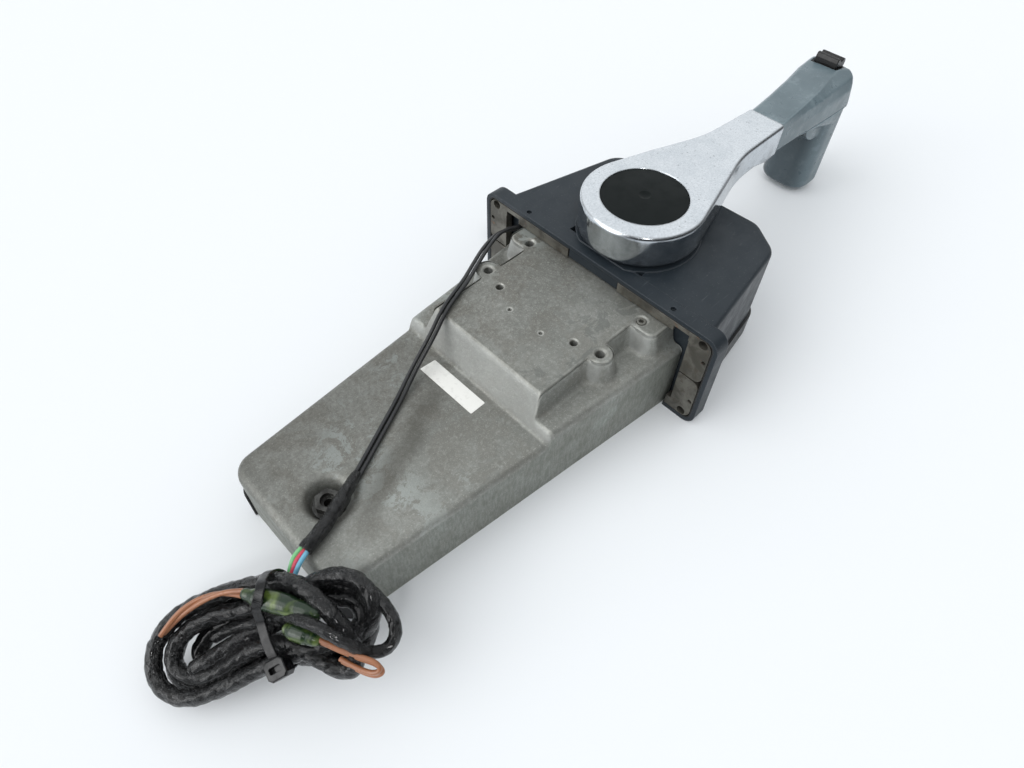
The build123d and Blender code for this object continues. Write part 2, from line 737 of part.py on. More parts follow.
def circlip(x, y, low, inner):
    """Snap ring, open at one side."""
    ring = tube(x, y, low, low + 1, inner + 2.2, inner + 0.02)
    return ring - block(x - 1.2, x + 1.2, y + inner - 0.5, y + inner + 3, low - 1, low + 2)


# ---- lever ----
def arm_plan():
    """Lever seen from above: hub circle, straight tapering flanks and a slim neck."""
    tip = hub_x + arm_length + 1.0
    lean = math.radians(17.0)
    x0 = hub_x + hub_radius * math.sin(lean)
    y0 = hub_radius * math.cos(lean)
    x1 = x0 + (y0 - arm_half - 1.6) / math.tan(lean)
    hub = ThreePointArc((x0, y0), (hub_x - hub_radius, 0), (x0, -y0))
    flanks = [Polyline((x0, s * y0), (x1, s * (arm_half + 1.6)), (tip, s * arm_half)) for s in (-1, 1)]
    face = make_face(Curve() + [hub, *flanks, Line((tip, -arm_half), (tip, arm_half))])
    neck = [v for v in face.vertices() if abs(v.X - x1) < 0.1]
    return fillet(neck, 90)


def lever_arm():
    """Plated casting: hub with the button's pocket, and the arm out to the grip."""
    body = extrude(Plane.XY.offset(hub_low - arm_belly) * arm_plan(), hub_height + arm_belly, dir=UP)
    tip = hub_x + arm_length + 1.0
    side = [
        (0, hub_low), (hub_x + 92, hub_low), (hub_x + 107, hub_low - arm_belly), (tip, hub_low - arm_belly),
        (tip, hub_top - arm_drop), (hub_x + 34, hub_top), (0, hub_top),
    ]
    body &= side_cut(side, 60)
    rim = [e for e in body.edges() if e.center().Z > hub_top - arm_drop - 1 and e.center().X < tip - 1]
    rim = [e for e in rim if abs(e.center().Y) > 5 or e.center().X < hub_x]
    body = fillet([e for e in rim if abs(e.tangent_at(0.5).Z) < 0.5], 2.4)
    body -= rod(hub_x, 0, pocket_z, hub_top + 1, cap_radius + cap_gap)
    body -= rod(hub_x, 0, hub_low - 1, pocket_z + 1, shaft_radius + 0.02)
    return body


def hub_button():
    """Free-throttle button: a shallow cup with a crowned face and a finger dimple."""
    rise = 0.9
    top = hub_top - 0.3
    sphere_radius = (cap_radius ** 2 + rise ** 2) / (2 * rise)
    skirt_low = pocket_z + button_travel + 0.6
    cup = rod(hub_x, 0, skirt_low, top + rise, cap_radius)
    crown = Pos(hub_x, 0, top + rise - sphere_radius) * Sphere(sphere_radius)
    cup &= crown
    cup -= rod(hub_x, 0, skirt_low - 1, top - button_skin, cap_radius - 2.2)
    dimple = 9.0
    return cup - Pos(hub_x, 0, top + rise + dimple - 0.7) * Sphere(dimple)


def lever_bolt():
    """Hexagon bolt and washer that hold the lever on its shaft."""
    bolt = rod(hub_x, 0, pocket_z, pocket_z + 1.2, 9.5)
    bolt += extrude(Pos(hub_x, 0, pocket_z + 1.2) * RegularPolygon(7.4, 6), 2.6)
    return bolt + rod(hub_x, 0, pocket_z - 18, pocket_z + 0.1, 3.9)


def lever_shaft():
    """Steel shaft from the lower bearing to the lever, tapped for the lever bolt."""
    low, high = bracket_low - 0.2, pocket_z - 0.3
    shaft = rod(hub_x, 0, low, high, shaft_radius)
    shaft = chamfer(shaft.edges().group_by(Axis.Z)[0], 0.6)
    return shaft - rod(hub_x, 0, high - 20, high + 1, 3.95)


# ---- grip ----
def grip_section(x, top, left, crease, bulge, low):
    """Head of the grip across X: flat top, a bevel down to the aft side, and rounded corners."""
    points = [
        (crease, top), (left - 2.5, top - 0.6), (left, top - 3.6), (left, low + 3.0), (left - 3.0, low),
        (bulge + 3.0, low), (bulge, low + 3.0), (bulge, top - 10.0), (bulge * 0.7 + crease * 0.3, top - 4.0),
    ]
    face = Polygon(*points)
    face = fillet(face.vertices(), 1.2)
    return Plane.YZ.offset(x) * face


def grip_head():
    """Head of the grip, lofted from the arm's section out over the hand grip."""
    low = hub_low - arm_belly
    top = hub_top - arm_drop
    tip = grip_x + grip_half_x
    aft = grip_y - grip_half_y
    fore = grip_y + grip_half_y
    stations = [
        (grip_root_x, top, arm_half + 0.1, 1.2 - arm_half, -arm_half, low - 1.0),
        (186.0, top + 0.1, 15.6, -9.0, aft + 0.2, low - 2.6),
        (209.0, top + 0.2, 18.4, -6.2, aft - 0.6, low - 5.5),
        (229.0, top + 0.3, fore - 1.8, -2.4, aft - 0.6, low - 12.0),
        (tip + 1.0, top + 0.3, fore, 0.6, aft, low - 16.0),
    ]
    head = loft([grip_section(*station) for station in stations], ruled=True)
    plan = [(0, aft - 2.6), (tip, aft - 2.6), (tip, fore + 3.6), (0, fore + 3.6)]
    outline = Polygon(*plan)
    outline = fillet(outline.vertices().sort_by(Axis.X)[-2:], grip_corner + 2.0)
    middle = grip_seam_z - grip_seam_drop
    upper = extrude(Plane.XY.offset(middle) * outline, 40, taper=grip_lean)
    oval = RectangleRounded(2 * grip_half_x, 2 * grip_half_y, grip_corner)
    lower = extrude(Pos(grip_x, grip_y) * Plane.XY.offset(0) * oval, middle)
    lower += block(0, grip_x, -40, 40, 0, middle)
    return head & (upper + lower)


def grip_column():
    """Hanging hand grip: an upright rounded column, with a concave arch up to the head."""
    oval = RectangleRounded(2 * grip_half_x, 2 * grip_half_y, grip_corner)
    top = hub_low - arm_belly + 4
    column = extrude(Pos(grip_x, grip_y) * Plane.XY.offset(grip_bottom) * oval, top - grip_bottom)
    column = fillet(column.edges().group_by(Axis.Z)[0], 4.0)
    x0 = grip_x - grip_half_x
    root = hub_low - arm_belly
    corner = (x0 + 8, root + 3)
    arch = Plane.XZ * make_face(Curve() + [
        Line((x0 - grip_arch, root + 3), corner), Line(corner, (x0 + 8, root - grip_arch)),
        Line((x0 + 8, root - grip_arch), (x0 + 0.6, root - grip_arch)),
        RadiusArc((x0 + 0.6, root - grip_arch), (x0 - grip_arch, root), grip_arch * 1.02),
        Line((x0 - grip_arch, root), (x0 - grip_arch, root + 3)),
    ])
    web = extrude(arch, 40, both=True)
    half = grip_half_y - 3.4
    web &= block(0, 300, grip_y - half, grip_y + half - 2.0, 0, 60)
    return column + web


def split_plane_block(above):
    """Half space above or below the seam between the grip's two shells."""
    z0, z1 = grip_seam_z, grip_seam_z - grip_seam_drop
    far = grip_x + grip_half_x + 5
    if above:
        outline = [(150, z0 + 0.1), (far, z1 + 0.1), (far, 90), (150, 90)]
    else:
        outline = [(150, z0 - 0.1), (150, -60), (far, -60), (far, z1 - 0.1)]
    return side_cut(outline, 60)


def rocker_frame():
    """Frame of the switch on the end of the grip: Z out of the face, Y across the thumb."""
    return Pos(rocker_x, rocker_y, rocker_z) * Rot(0, rocker_tilt, 0)


def grip_parts():
    """Top cover, lower shell with the hand grip, switch body and rocker."""
    head = grip_head()
    cover = head & split_plane_block(True)
    facet = rocker_frame() * Pos(0, 0, 30.4) * Box(90, 90, 60)
    keep = block(rocker_x - rocker_deep / 2 - 2.0, 400, -60, 80, 0, 90)
    cover -= facet & keep
    cover -= rocker_frame() * Box(rocker_deep + 1.6, rocker_long + 1.6, 26)
    shell = (head & split_plane_block(False)) + (grip_column() & split_plane_block(False))
    body = rocker_frame() * Pos(0, 0, -5.4) * Box(rocker_deep + 1.2, rocker_long + 1.2, 10.0)
    well = rocker_frame() * Pos(0, 0, -2.0) * Box(rocker_deep - 1.0, rocker_long - 1.0, 8.0)
    body -= well
    return cover, shell, body, trim_rocker()


def trim_rocker():
    """Two-horned rocker, saddle shaped along the way it tips."""
    half = rocker_deep / 2 - 0.9
    profile = [
        (-half, -1.2), (half, -1.2), (half + 0.2, rocker_high * 0.55), (half - 1.2, rocker_high * 0.9),
        (half - 4.2, rocker_high), (0.6, rocker_high * 0.72), (-1.8, rocker_high * 0.7),
        (-half + 2.4, rocker_high), (-half + 0.4, rocker_high * 0.92), (-half - 0.2, rocker_high * 0.5),
    ]
    face = Polygon(*profile)
    face = Plane.XZ * fillet(face.vertices(), 0.7)
    body = extrude(face, rocker_long / 2 - 0.9, both=True)
    body = fillet(body.faces().sort_by(Axis.Y)[-1].edges() + body.faces().sort_by(Axis.Y)[0].edges(), 0.6)
    return rocker_frame() * body


# ---- bearings and small inner pieces ----
def shaft_bush():
    """Flanged bush in the bracket's boss."""
    bore = shaft_radius + running_gap
    bush = tube(hub_x, 0, 7.2, channel_z + 2.4, shaft_radius + bush_wall, bore)
    return bush + tube(hub_x, 0, 5.2, 6.98, shaft_radius + bush_wall + 3, bore)


def bearing_plate():
    """Steel plate across the open side of the bracket, with a collar for the shaft's end."""
    low = bracket_low - 3.2
    plate = block(12, bracket_length - 1, -bracket_half + 1, bracket_half - 1, low, bracket_low)
    plate = fillet(plate.edges().filter_by(Axis.Z), 7)
    for x, y in plate_holes:
        plate -= rod(x, y, low - 1, bracket_low + 1, 1.9)
        plate -= Pos(x, y, low + 0.7) * Cone(3.3, 1.9, 1.41)
    plate += rod(hub_x, 0, low, bracket_low + 3, shaft_radius + 5)
    plate -= rod(hub_x, 0, low - 1, bracket_low + 4, shaft_radius + running_gap)
    return plate


def bearing_plate_screws():
    """Countersunk screws that hold the bearing plate on the bracket."""
    low = bracket_low - 3.2 + 0.1
    return [countersunk_screw(x, y, low, 10.0, 3.1, 1.45) for x, y in plate_holes]


def housing_screws():
    """Screws that hold the housing down on the bracket, put in from inside the bracket."""
    top = bracket_high - bracket_wall
    screws = []
    for x, y in shell_holes:
        head = rod(x, y, top - 2.2, top, 3.4)
        screw = head + rod(x, y, top - 0.1, top + 9.5, 1.65)
        screws.append(screw - block(x - 2.4, x + 2.4, y - 0.4, y + 0.4, top - 3, top - 1.2))
    return screws


def thrust_ring():
    """Nylon ring between the housing's boss and the hub."""
    return tube(hub_x, 0, boss_z + 0.02, hub_low - 0.3, thrust_ring_radius, shaft_radius + 9)


def gear_spindle():
    """Fixed steel pin of the driven gear, with the sleeve that the gear rests on."""
    pin = rod(driven_x, 0, cover_top - 1.9, pad_z - case_wall / 2 - 2.1, pivot_radius)
    return pin + rod(driven_x, 0, cover_top + 0.05, gear_low - 2.3, pivot_radius + 1.8)


def arm_pivots():
    """Two fixed pivot pins, pressed into the case."""
    pins = []
    for side, low in ((1, throttle_arm_low), (-1, shift_arm_low)):
        pins.append(rod(arm_pivot_x, side * arm_pivot_half, low - 2.0, plateau_z - 2.1, pivot_radius))
    return pins


def circlips():
    """Snap rings on the spindle and on both pivot pins."""
    return [
        circlip(driven_x, 0, gear_low + gear_face + 2.8, pivot_radius),
        circlip(arm_pivot_x, arm_pivot_half, throttle_arm_low - 1.3, pivot_radius),
        circlip(arm_pivot_x, -arm_pivot_half, shift_arm_low - 1.3, pivot_radius),
    ]


def neutral_switch():
    """Start-in-neutral switch beside the driven gear."""
    body = block(switch_x - 8, switch_x + 8, switch_y - 6, switch_y + 1.5, gear_low - 3, gear_low + 9)
    body = fillet(body.edges().filter_by(Axis.Z), 1.0)
    body -= Pos(switch_x, switch_y, gear_low + 3) * Rot(90, 0, 0) * Cylinder(1.6, 10)
    for dx in (-5, 0, 5):
        x0 = switch_x + dx - 0.8
        body += block(x0, x0 + 1.6, switch_y - 9, switch_y - 5, gear_low, gear_low + 0.6)
    foot = block(switch_x - 7, switch_x + 7, switch_y - 5, switch_y + 1, cover_top + 0.05, gear_low - 2.9)
    return body + foot


def switch_plunger():
    """Plunger that the gear's rim lets out of neutral; it points at the gear."""
    length = 7.0
    tip = switch_y + 5.0
    stem = Pos(switch_x, tip - length / 2, gear_low + 3) * Rot(90, 0, 0) * Cylinder(1.55, length)
    return fillet(stem.edges().group_by(Axis.Y)[-1], 1.0)


detent_x = driven_x - 14.0


def detent_cartridge():
    """Threaded spring cartridge over the driven gear, hollow for its ball."""
    low = gear_low + gear_face + 2.0
    body = rod(detent_x, 0, low, pad_z - case_wall - 0.02, 4.0)
    return body - rod(detent_x, 0, low - 1, low + 7, 2.55)


def detent_ball():
    """Steel ball at the mouth of the cartridge, just off the gear's face."""
    return Pos(detent_x, 0, gear_low + gear_face + 0.35 + 2.5) * Sphere(2.5)


def button_spring():
    """Wave spring under the button, drawn closed."""
    turns = []
    for i in range(4):
        low = pocket_z + 0.02 + i * 0.95
        turns.append(tube(hub_x, 0, low, low + 0.93, 18.5, 15.0))
    spring = turns[0]
    for turn in turns[1:]:
        spring += tube(hub_x, 0, pocket_z + 0.5, pocket_z + 3.5, 17.2, 16.2)
        spring += turn
    return spring


def screws_under_case():
    """Countersunk screws of the back cover."""
    low = floor_z + back_cover_inset + 0.15
    return [countersunk_screw(x, y, low, 12.0, 3.9, 1.65) for x, y in cover_posts()]


def rear_cover_screws():
    """Pan head screws deep in the rear cover's posts."""
    screws = []
    for x, y in rear_posts:
        head = rod(x, y, rear_bottom + 0.3, rear_bottom + 2.15, 3.3)
        screw = head + rod(x, y, rear_bottom + 2, rear_split + 9, 1.55)
        screws.append(screw - block(x - 2.2, x + 2.2, y - 0.4, y + 0.4, rear_bottom, rear_bottom + 1.1))
    return screws


def lead_grommet():
    """Rubber grommet in the flange's web where the two leads come out."""
    ring = rod_x(recess_depth - 1.2, flange_thickness + 1.2, lead_y, lead_z, grommet_radius - 0.02)
    lip = rod_x(recess_depth - 1.2, recess_depth - 0.05, lead_y, lead_z, grommet_radius + 1.0)
    ring += lip & block(0, 20, tab_half + 0.4, 80, 0, 40)
    for side in (-1, 1):
        ring -= rod_x(0, 20, lead_y, lead_z + side * lead_spacing / 2, lead_diameter / 2 + 0.05)
    return ring


# ---- leads, wires and harness ----


def run_radii(points):
    """Radius of the arc at each inner point: 0.45 of the shorter run over tan of half the turn."""
    vectors = [Vector(*p) for p in points]
    radii = []
    for before, here, after in zip(vectors, vectors[1:], vectors[2:]):
        first, second = here - before, after - here
        turn = math.radians(first.get_angle(second))
        radii.append(0.45 * min(first.length, second.length) / math.tan(turn / 2))
    return radii


def cord_tube(name, points, diameter):
    """Round tube along straight runs joined by tangent arcs; prints its radii and length."""
    radii = run_radii(points)
    line = FilletPolyline(*points, radius=radii)
    start = Plane(origin=points[0], z_dir=Vector(*points[1]) - Vector(*points[0]))
    body = sweep(start * Circle(diameter / 2), path=line)
    expected = math.pi * diameter ** 2 / 4 * line.length
    print(f"{name}: length {line.length:.1f} radii {[round(r, 1) for r in radii]}", end=" ")
    print(f"volume ratio {body.volume / expected:.4f}")
    return body


def beside(points, shift):
    """The same route moved sideways in plan by a distance, square to each run's direction."""
    moved = []
    for i, point in enumerate(points):
        before = points[max(i - 1, 0)]
        after = points[min(i + 1, len(points) - 1)]
        dx, dy = after[0] - before[0], after[1] - before[1]
        size = math.hypot(dx, dy)
        blend = max(min((i - 1) / 3, 1.0), 0.0)
        across = (-dy / size * shift * blend, dx / size * shift * blend, shift * (1 - blend))
        moved.append((point[0] + across[0], point[1] + across[1], point[2] + across[2]))
    return moved


def leads():
    """The two leads, one above the other in the grommet and side by side on the case."""
    first = cord_tube("lead_fore", beside(lead_route, -lead_spacing / 2), lead_diameter)
    second = cord_tube("lead_aft", beside(lead_route, lead_spacing / 2), lead_diameter)
    return first, second


def oriented(origin, along, up=(0, 0, 1)):
    """Frame at a point with its Z along a direction."""
    z_dir = Vector(*along)
    x_dir = Vector(*up).cross(z_dir)
    return Plane(origin=origin, x_dir=x_dir, z_dir=z_dir)


def lead_sleeves():
    """Shrink sleeve over both leads, and the tape below it where the wires part."""
    first, second, third = [Vector(*p) for p in sleeve_points]
    wide = extrude(oriented(first, second - first) * Ellipse(4.0, 3.3), (second - first).length - 1.0)
    narrow = extrude(oriented(second, third - second) * Ellipse(3.4, 2.9), (third - second).length)
    return wide, narrow


def hank_frame():
    """Frame of the tied hank: it leans on the case's end corner, with its far end on the floor."""
    size = math.hypot(*hank_heading)
    ax, ay = hank_heading[0] / size, hank_heading[1] / size
    along = Vector(ax, ay, hank_rise_along)
    across = Vector(-ay, ax, hank_rise_across)
    return Plane(origin=hank_centre, x_dir=along, z_dir=along.cross(across))


def on_hank(points):
    """Points along, across and off the hank's middle plane, as places in the model."""
    frame = hank_frame()
    return [tuple(frame.from_local_coords(Vector(*p))) for p in points]


def hank_bullets():
    """Clear sleeves over the bullet connectors, lying on the hank; grown ones cut their seats."""
    frame = hank_frame()
    pieces = []
    for (start, end), radius in zip(bullet_ends, bullet_radii):
        height = hank_thickness / 2 + radius + 0.1
        first = Vector(*start, height)
        run = Vector(*end, height) - first
        body = extrude(Plane(origin=first, z_dir=run) * Circle(radius), run.length)
        neck = fillet(body.edges(), radius * 0.35)
        pieces.append(frame * neck)
    return pieces


def hank():
    """The tied harness: one closed solid of its outer shape, flat where it lies on the floor."""
    face = make_face(Spline(*hank_outline, periodic=True))
    slab = extrude(face, hank_thickness / 2, both=True)
    slab = fillet(slab.edges(), 4.0)
    placed = hank_frame() * slab
    placed &= block(-400, 0, -300, 300, floor_z, 200)
    return placed - block(-case_length - 1.7, 0, -100, 100, floor_z - 1, plateau_z + 0.6)


def cable_tie():
    """Nylon tie round the hank and the long sleeve, with its square head."""
    half = hank_thickness / 2
    inner = [
        (-11.8, -half - 0.3), (27.1, -half - 0.3), (27.1, half + 3.0), (25.3, half + 9.8),
        (14.6, half + 9.8), (8.0, half + 0.4), (-11.8, half + 0.4),
    ]
    loop = Polygon(*inner)
    band = offset(loop, tie_skin) - loop
    solid = extrude(Plane.YZ.offset(tie_along - tie_width / 2) * band, tie_width, dir=(1, 0, 0))
    head = block(tie_along - 4.0, tie_along + 4.0, -13.6, -8.4, half + 0.7, half + 4.6)
    head = fillet(head.edges().filter_by(Axis.X), 0.8)
    return hank_frame() * (solid + head)


def core_wires():
    """Three coloured cores between the tape and the harness."""
    wires = []
    for i, shift in enumerate((-2.4, 0.0, 2.4)):
        points = [
            (-205.7, -19.9 + shift * 0.9, 7.0), (-209.8, -21.3 + shift, 6.4), (-213.0, -23.0 + shift, 6.0),
        ]
        wires.append(cord_tube(f"core_wire_{i}", points, 2 * core_wire_radius))
    return wires


def brown_wires(name, route):
    """A pair of brown leads side by side on the hank."""
    pair = []
    for i, shift in enumerate((-0.6, 0.6)):
        moved = [(u, v + 2 * shift, n) for u, v, n in route]
        pair.append(cord_tube(f"{name}_{i}", on_hank(moved), brown_diameter))
    return pair


def main():
    """Make every node and write it."""
    os.makedirs("parts", exist_ok=True)
    save("case_casting", case_casting())
    save("cable_boots", *cable_boots())
    save("case_back_cover", back_cover())
    save("back_cover_screws", *screws_under_case())
    save("recess_sleeve_nut", sleeve_nut())
    save("pad_plug_screw", pad_plug())
    save("tower_housing", with_posts(housing()))
    save("tower_rear_cover", rear_cover())
    save("rear_cover_screws", *rear_cover_screws())
    save("deck_gasket", deck_gasket())
    names = ["fore_upper", "fore_lower", "aft_upper", "aft_lower"]
    for name, plate in zip(names, mount_plates()):
        save(f"mount_plate_{name}", plate)
    save("mount_plate_screws", *plate_screws())
    save("lever_shaft", lever_shaft())
    save("shaft_bush", shaft_bush())
    save("lower_bearing_plate", bearing_plate())
    save("bearing_plate_screws", *bearing_plate_screws())
    save("housing_screws", *housing_screws())
    save("shaft_thrust_ring", thrust_ring())
    save("drive_gear", drive_gear())
    save("driven_gear", driven_gear())
    save("gear_spindle", gear_spindle())
    save("shift_link", link(-1, shift_link_low))
    save("throttle_link", link(1, throttle_link_low))
    save("shift_arm", cable_arm(-1, shift_arm_low, shift_link_low))
    save("throttle_arm", cable_arm(1, throttle_arm_low, throttle_link_low + plate_thickness))
    save("arm_pivot_pins", *arm_pivots())
    save("snap_rings", *circlips())
    save("neutral_switch", neutral_switch())
    save("neutral_switch_plunger", switch_plunger())
    save("detent_cartridge", detent_cartridge())
    save("detent_ball", detent_ball())
    save("lever_arm", lever_arm())
    save("lever_bolt", lever_bolt())
    save("hub_button", hub_button())
    save("button_spring", button_spring())
    cover, lower_shell, switch_body, rocker = grip_parts()
    save("grip_top_cover", cover)
    save("grip_lower_shell", lower_shell)
    save("trim_switch_body", switch_body)
    save("trim_rocker", rocker)
    save("lead_grommet", lead_grommet())
    lead_fore, lead_aft = leads()
    save("lead_fore", lead_fore)
    save("lead_aft", lead_aft)
    save("lead_sleeves", *lead_sleeves())
    save("core_wires", *core_wires())
    save("harness_hank", hank())
    save("hank_tie", cable_tie())
    save("bullet_sleeves", *hank_bullets())
    save("brown_wires_left", *brown_wires("brown_left", brown_left))
    save("brown_wires_right", *brown_wires("brown_right", brown_right))


main()
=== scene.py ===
"""Looks of the boat throttle control lever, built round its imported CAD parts.

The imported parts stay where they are.  This script gives them their finishes, lays the free leads and the tied
harness as real cords, gives the casting and the grip their soft edges, sticks the bare label on the case, and sets
the floor, light and camera.  Routes and sizes are in millimetres; everything that is passed to Blender is in metres.
"""

from __future__ import annotations

import json
import logging
import math
from dataclasses import dataclass
from enum import Enum
from typing import Sequence

import bmesh
import bpy
import numpy as np
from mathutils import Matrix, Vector

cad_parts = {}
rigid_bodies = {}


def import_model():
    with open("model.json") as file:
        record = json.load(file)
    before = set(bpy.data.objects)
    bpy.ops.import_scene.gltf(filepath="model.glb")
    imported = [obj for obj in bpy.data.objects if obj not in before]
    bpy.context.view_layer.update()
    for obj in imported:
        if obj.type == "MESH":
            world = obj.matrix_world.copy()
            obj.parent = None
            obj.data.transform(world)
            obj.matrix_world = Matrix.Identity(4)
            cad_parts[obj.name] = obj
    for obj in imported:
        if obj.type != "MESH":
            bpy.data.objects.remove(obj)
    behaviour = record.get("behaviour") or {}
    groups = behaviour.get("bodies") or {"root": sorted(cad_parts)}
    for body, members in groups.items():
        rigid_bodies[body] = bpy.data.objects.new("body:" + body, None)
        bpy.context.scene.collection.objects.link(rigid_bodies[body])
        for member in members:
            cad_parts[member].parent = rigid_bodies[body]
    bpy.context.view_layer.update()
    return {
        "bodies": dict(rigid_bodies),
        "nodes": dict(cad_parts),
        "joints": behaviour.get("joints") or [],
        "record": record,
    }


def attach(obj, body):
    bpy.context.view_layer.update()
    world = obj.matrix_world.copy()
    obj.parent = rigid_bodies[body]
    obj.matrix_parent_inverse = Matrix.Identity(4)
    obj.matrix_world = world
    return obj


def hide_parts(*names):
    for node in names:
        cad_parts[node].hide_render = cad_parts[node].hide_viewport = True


LOG = logging.getLogger("control_lever")

MILLI = 0.001
FLOOR_Z = -34.25
CASE_BODY = "control_case"
CAMERA_PLACE = (-0.23473, -0.17371, 0.29886)
CAMERA_TURN_DEG = (37.484, -0.945, -43.981)
CAMERA_LENS = 24.914

Point = tuple[float, float, float]
Display = tuple[int, int, int]
Socket = bpy.types.NodeSocket
Faces = list[tuple[int, ...]]
Noise = Sequence[object]
Layer = tuple[Noise, float, float, float, Display]


def srgb(red: int, green: int, blue: int) -> tuple[float, float, float, float]:
    """Turn 0-255 display values into linear colour.

    Args:
        red: Red display value.
        green: Green display value.
        blue: Blue display value.

    Returns:
        Linear red, green, blue and a full alpha.
    """
    def linear(value: float) -> float:
        """One channel: v / 12.92 when low, else ((v + 0.055) / 1.055) to the power 2.4."""
        share = value / 255
        return share / 12.92 if share <= 0.04045 else ((share + 0.055) / 1.055) ** 2.4

    return (linear(red), linear(green), linear(blue), 1.0)


class Slot(Enum):
    """Material slots of the record."""

    CAST = "cast_metal"
    RUBBER = "rubber_black"
    PLATE = "plated_plate"
    STEEL = "steel"
    GEAR = "gear_metal"
    BRONZE = "bronze"
    CHROME = "chrome_plate"
    SLATE = "slate_plastic"
    BLACK = "black_plastic"
    GRIP = "grip_plastic"
    LEAD = "lead_sheath"
    TAPE = "loom_tape"
    CORE = "core_colours"
    BROWN = "brown_insulation"
    BULLET = "clear_green"


@dataclass(frozen=True)
class Finish:
    """A plain finish with a little unevenness.

    Attributes:
        name: Name of the material.
        colour: Main display colour.
        other: Display colour of the patches.
        patch_scale: Patches per metre.
        patch_share: How much of the patch colour shows, 0 to 1.
        roughness: Mean roughness.
        metallic: 0 for plastic, 1 for bare metal.
        grain: Depth of the fine surface grain in metres.
        edge: Radius of the softened edges in metres.
        coat: Strength of a clear gloss over the colour.
        shine: Specular level, 0.5 for ordinary plastic.
    """

    name: str
    colour: Display
    other: Display
    patch_scale: float = 60.0
    patch_share: float = 0.3
    roughness: float = 0.5
    metallic: float = 0.0
    grain: float = 0.00002
    edge: float = 0.0004
    coat: float = 0.0
    shine: float = 0.5


class Nodes:
    """Writes shader nodes into one node tree."""

    def __init__(self, tree: bpy.types.NodeTree) -> None:
        """Take over a node tree and empty it.

        Args:
            tree: Tree to write into.
        """
        self.tree = tree
        tree.nodes.clear()

    def node(self, kind: str, **settings: object) -> bpy.types.ShaderNode:
        """Add a node.

        Args:
            kind: Blender's name of the node type.
            **settings: Properties to set on it.

        Returns:
            The new node.
        """
        made = self.tree.nodes.new(kind)
        for key, value in settings.items():
            setattr(made, key, value)
        return made

    def feed(self, target: Socket, value: object) -> None:
        """Link a socket, or set a plain value, on an input.

        Args:
            target: Input to feed.
            value: Socket to link, or a plain value.
        """
        if isinstance(value, bpy.types.NodeSocket):
            self.tree.links.new(value, target)
        else:
            target.default_value = value

    def span(self, value: Socket, low: float, high: float, to_low: float = 0.0, to_high: float = 1.0) -> Socket:
        """Map low..high to another range, held at its ends.

        Args:
            value: What to map.
            low: Value that gives to_low.
            high: Value that gives to_high.
            to_low: Result at the low end.
            to_high: Result at the high end.

        Returns:
            The mapped value.
        """
        made = self.node("ShaderNodeMapRange", interpolation_type="SMOOTHSTEP")
        for key, number in (
            ("Value", value), ("From Min", low), ("From Max", high), ("To Min", to_low), ("To Max", to_high),
        ):
            self.feed(made.inputs[key], number)
        return made.outputs[0]

    def maths(self, operation: str, *values: object) -> Socket:
        """One arithmetic node.

        Args:
            operation: Blender's name of the operation.
            *values: Its inputs, sockets or numbers.

        Returns:
            The result.
        """
        made = self.node("ShaderNodeMath", operation=operation)
        for target, value in zip(made.inputs, values):
            self.feed(target, value)
        return made.outputs[0]

    def product(self, *values: object) -> Socket:
        """Product of masks and shares.

        Args:
            *values: Sockets or numbers.

        Returns:
            Their product.
        """
        result = values[0]
        for value in values[1:]:
            result = self.maths("MULTIPLY", result, value)
        return result

    def inverse(self, value: Socket) -> Socket:
        """1 minus a value."""
        return self.maths("SUBTRACT", 1.0, value)

    def dot(self, first: Socket, second: object) -> Socket:
        """Dot product of two vectors.

        Args:
            first: A vector.
            second: A vector, or three numbers.

        Returns:
            The dot product.
        """
        made = self.node("ShaderNodeVectorMath", operation="DOT_PRODUCT")
        self.feed(made.inputs[0], first)
        self.feed(made.inputs[1], second)
        return made.outputs["Value"]

    def axis(self, index: int, source: Socket | None = None) -> Socket:
        """One coordinate of a place.

        Args:
            index: 0 for x, 1 for y and 2 for z.
            source: The place or direction, or the surface's own place.

        Returns:
            The coordinate.
        """
        made = self.node("ShaderNodeSeparateXYZ")
        self.feed(made.inputs[0], source or self.place())
        return made.outputs[index]

    def place(self) -> Socket:
        """Object coordinates, which are the row frame in metres."""
        return self.node("ShaderNodeTexCoord").outputs["Object"]


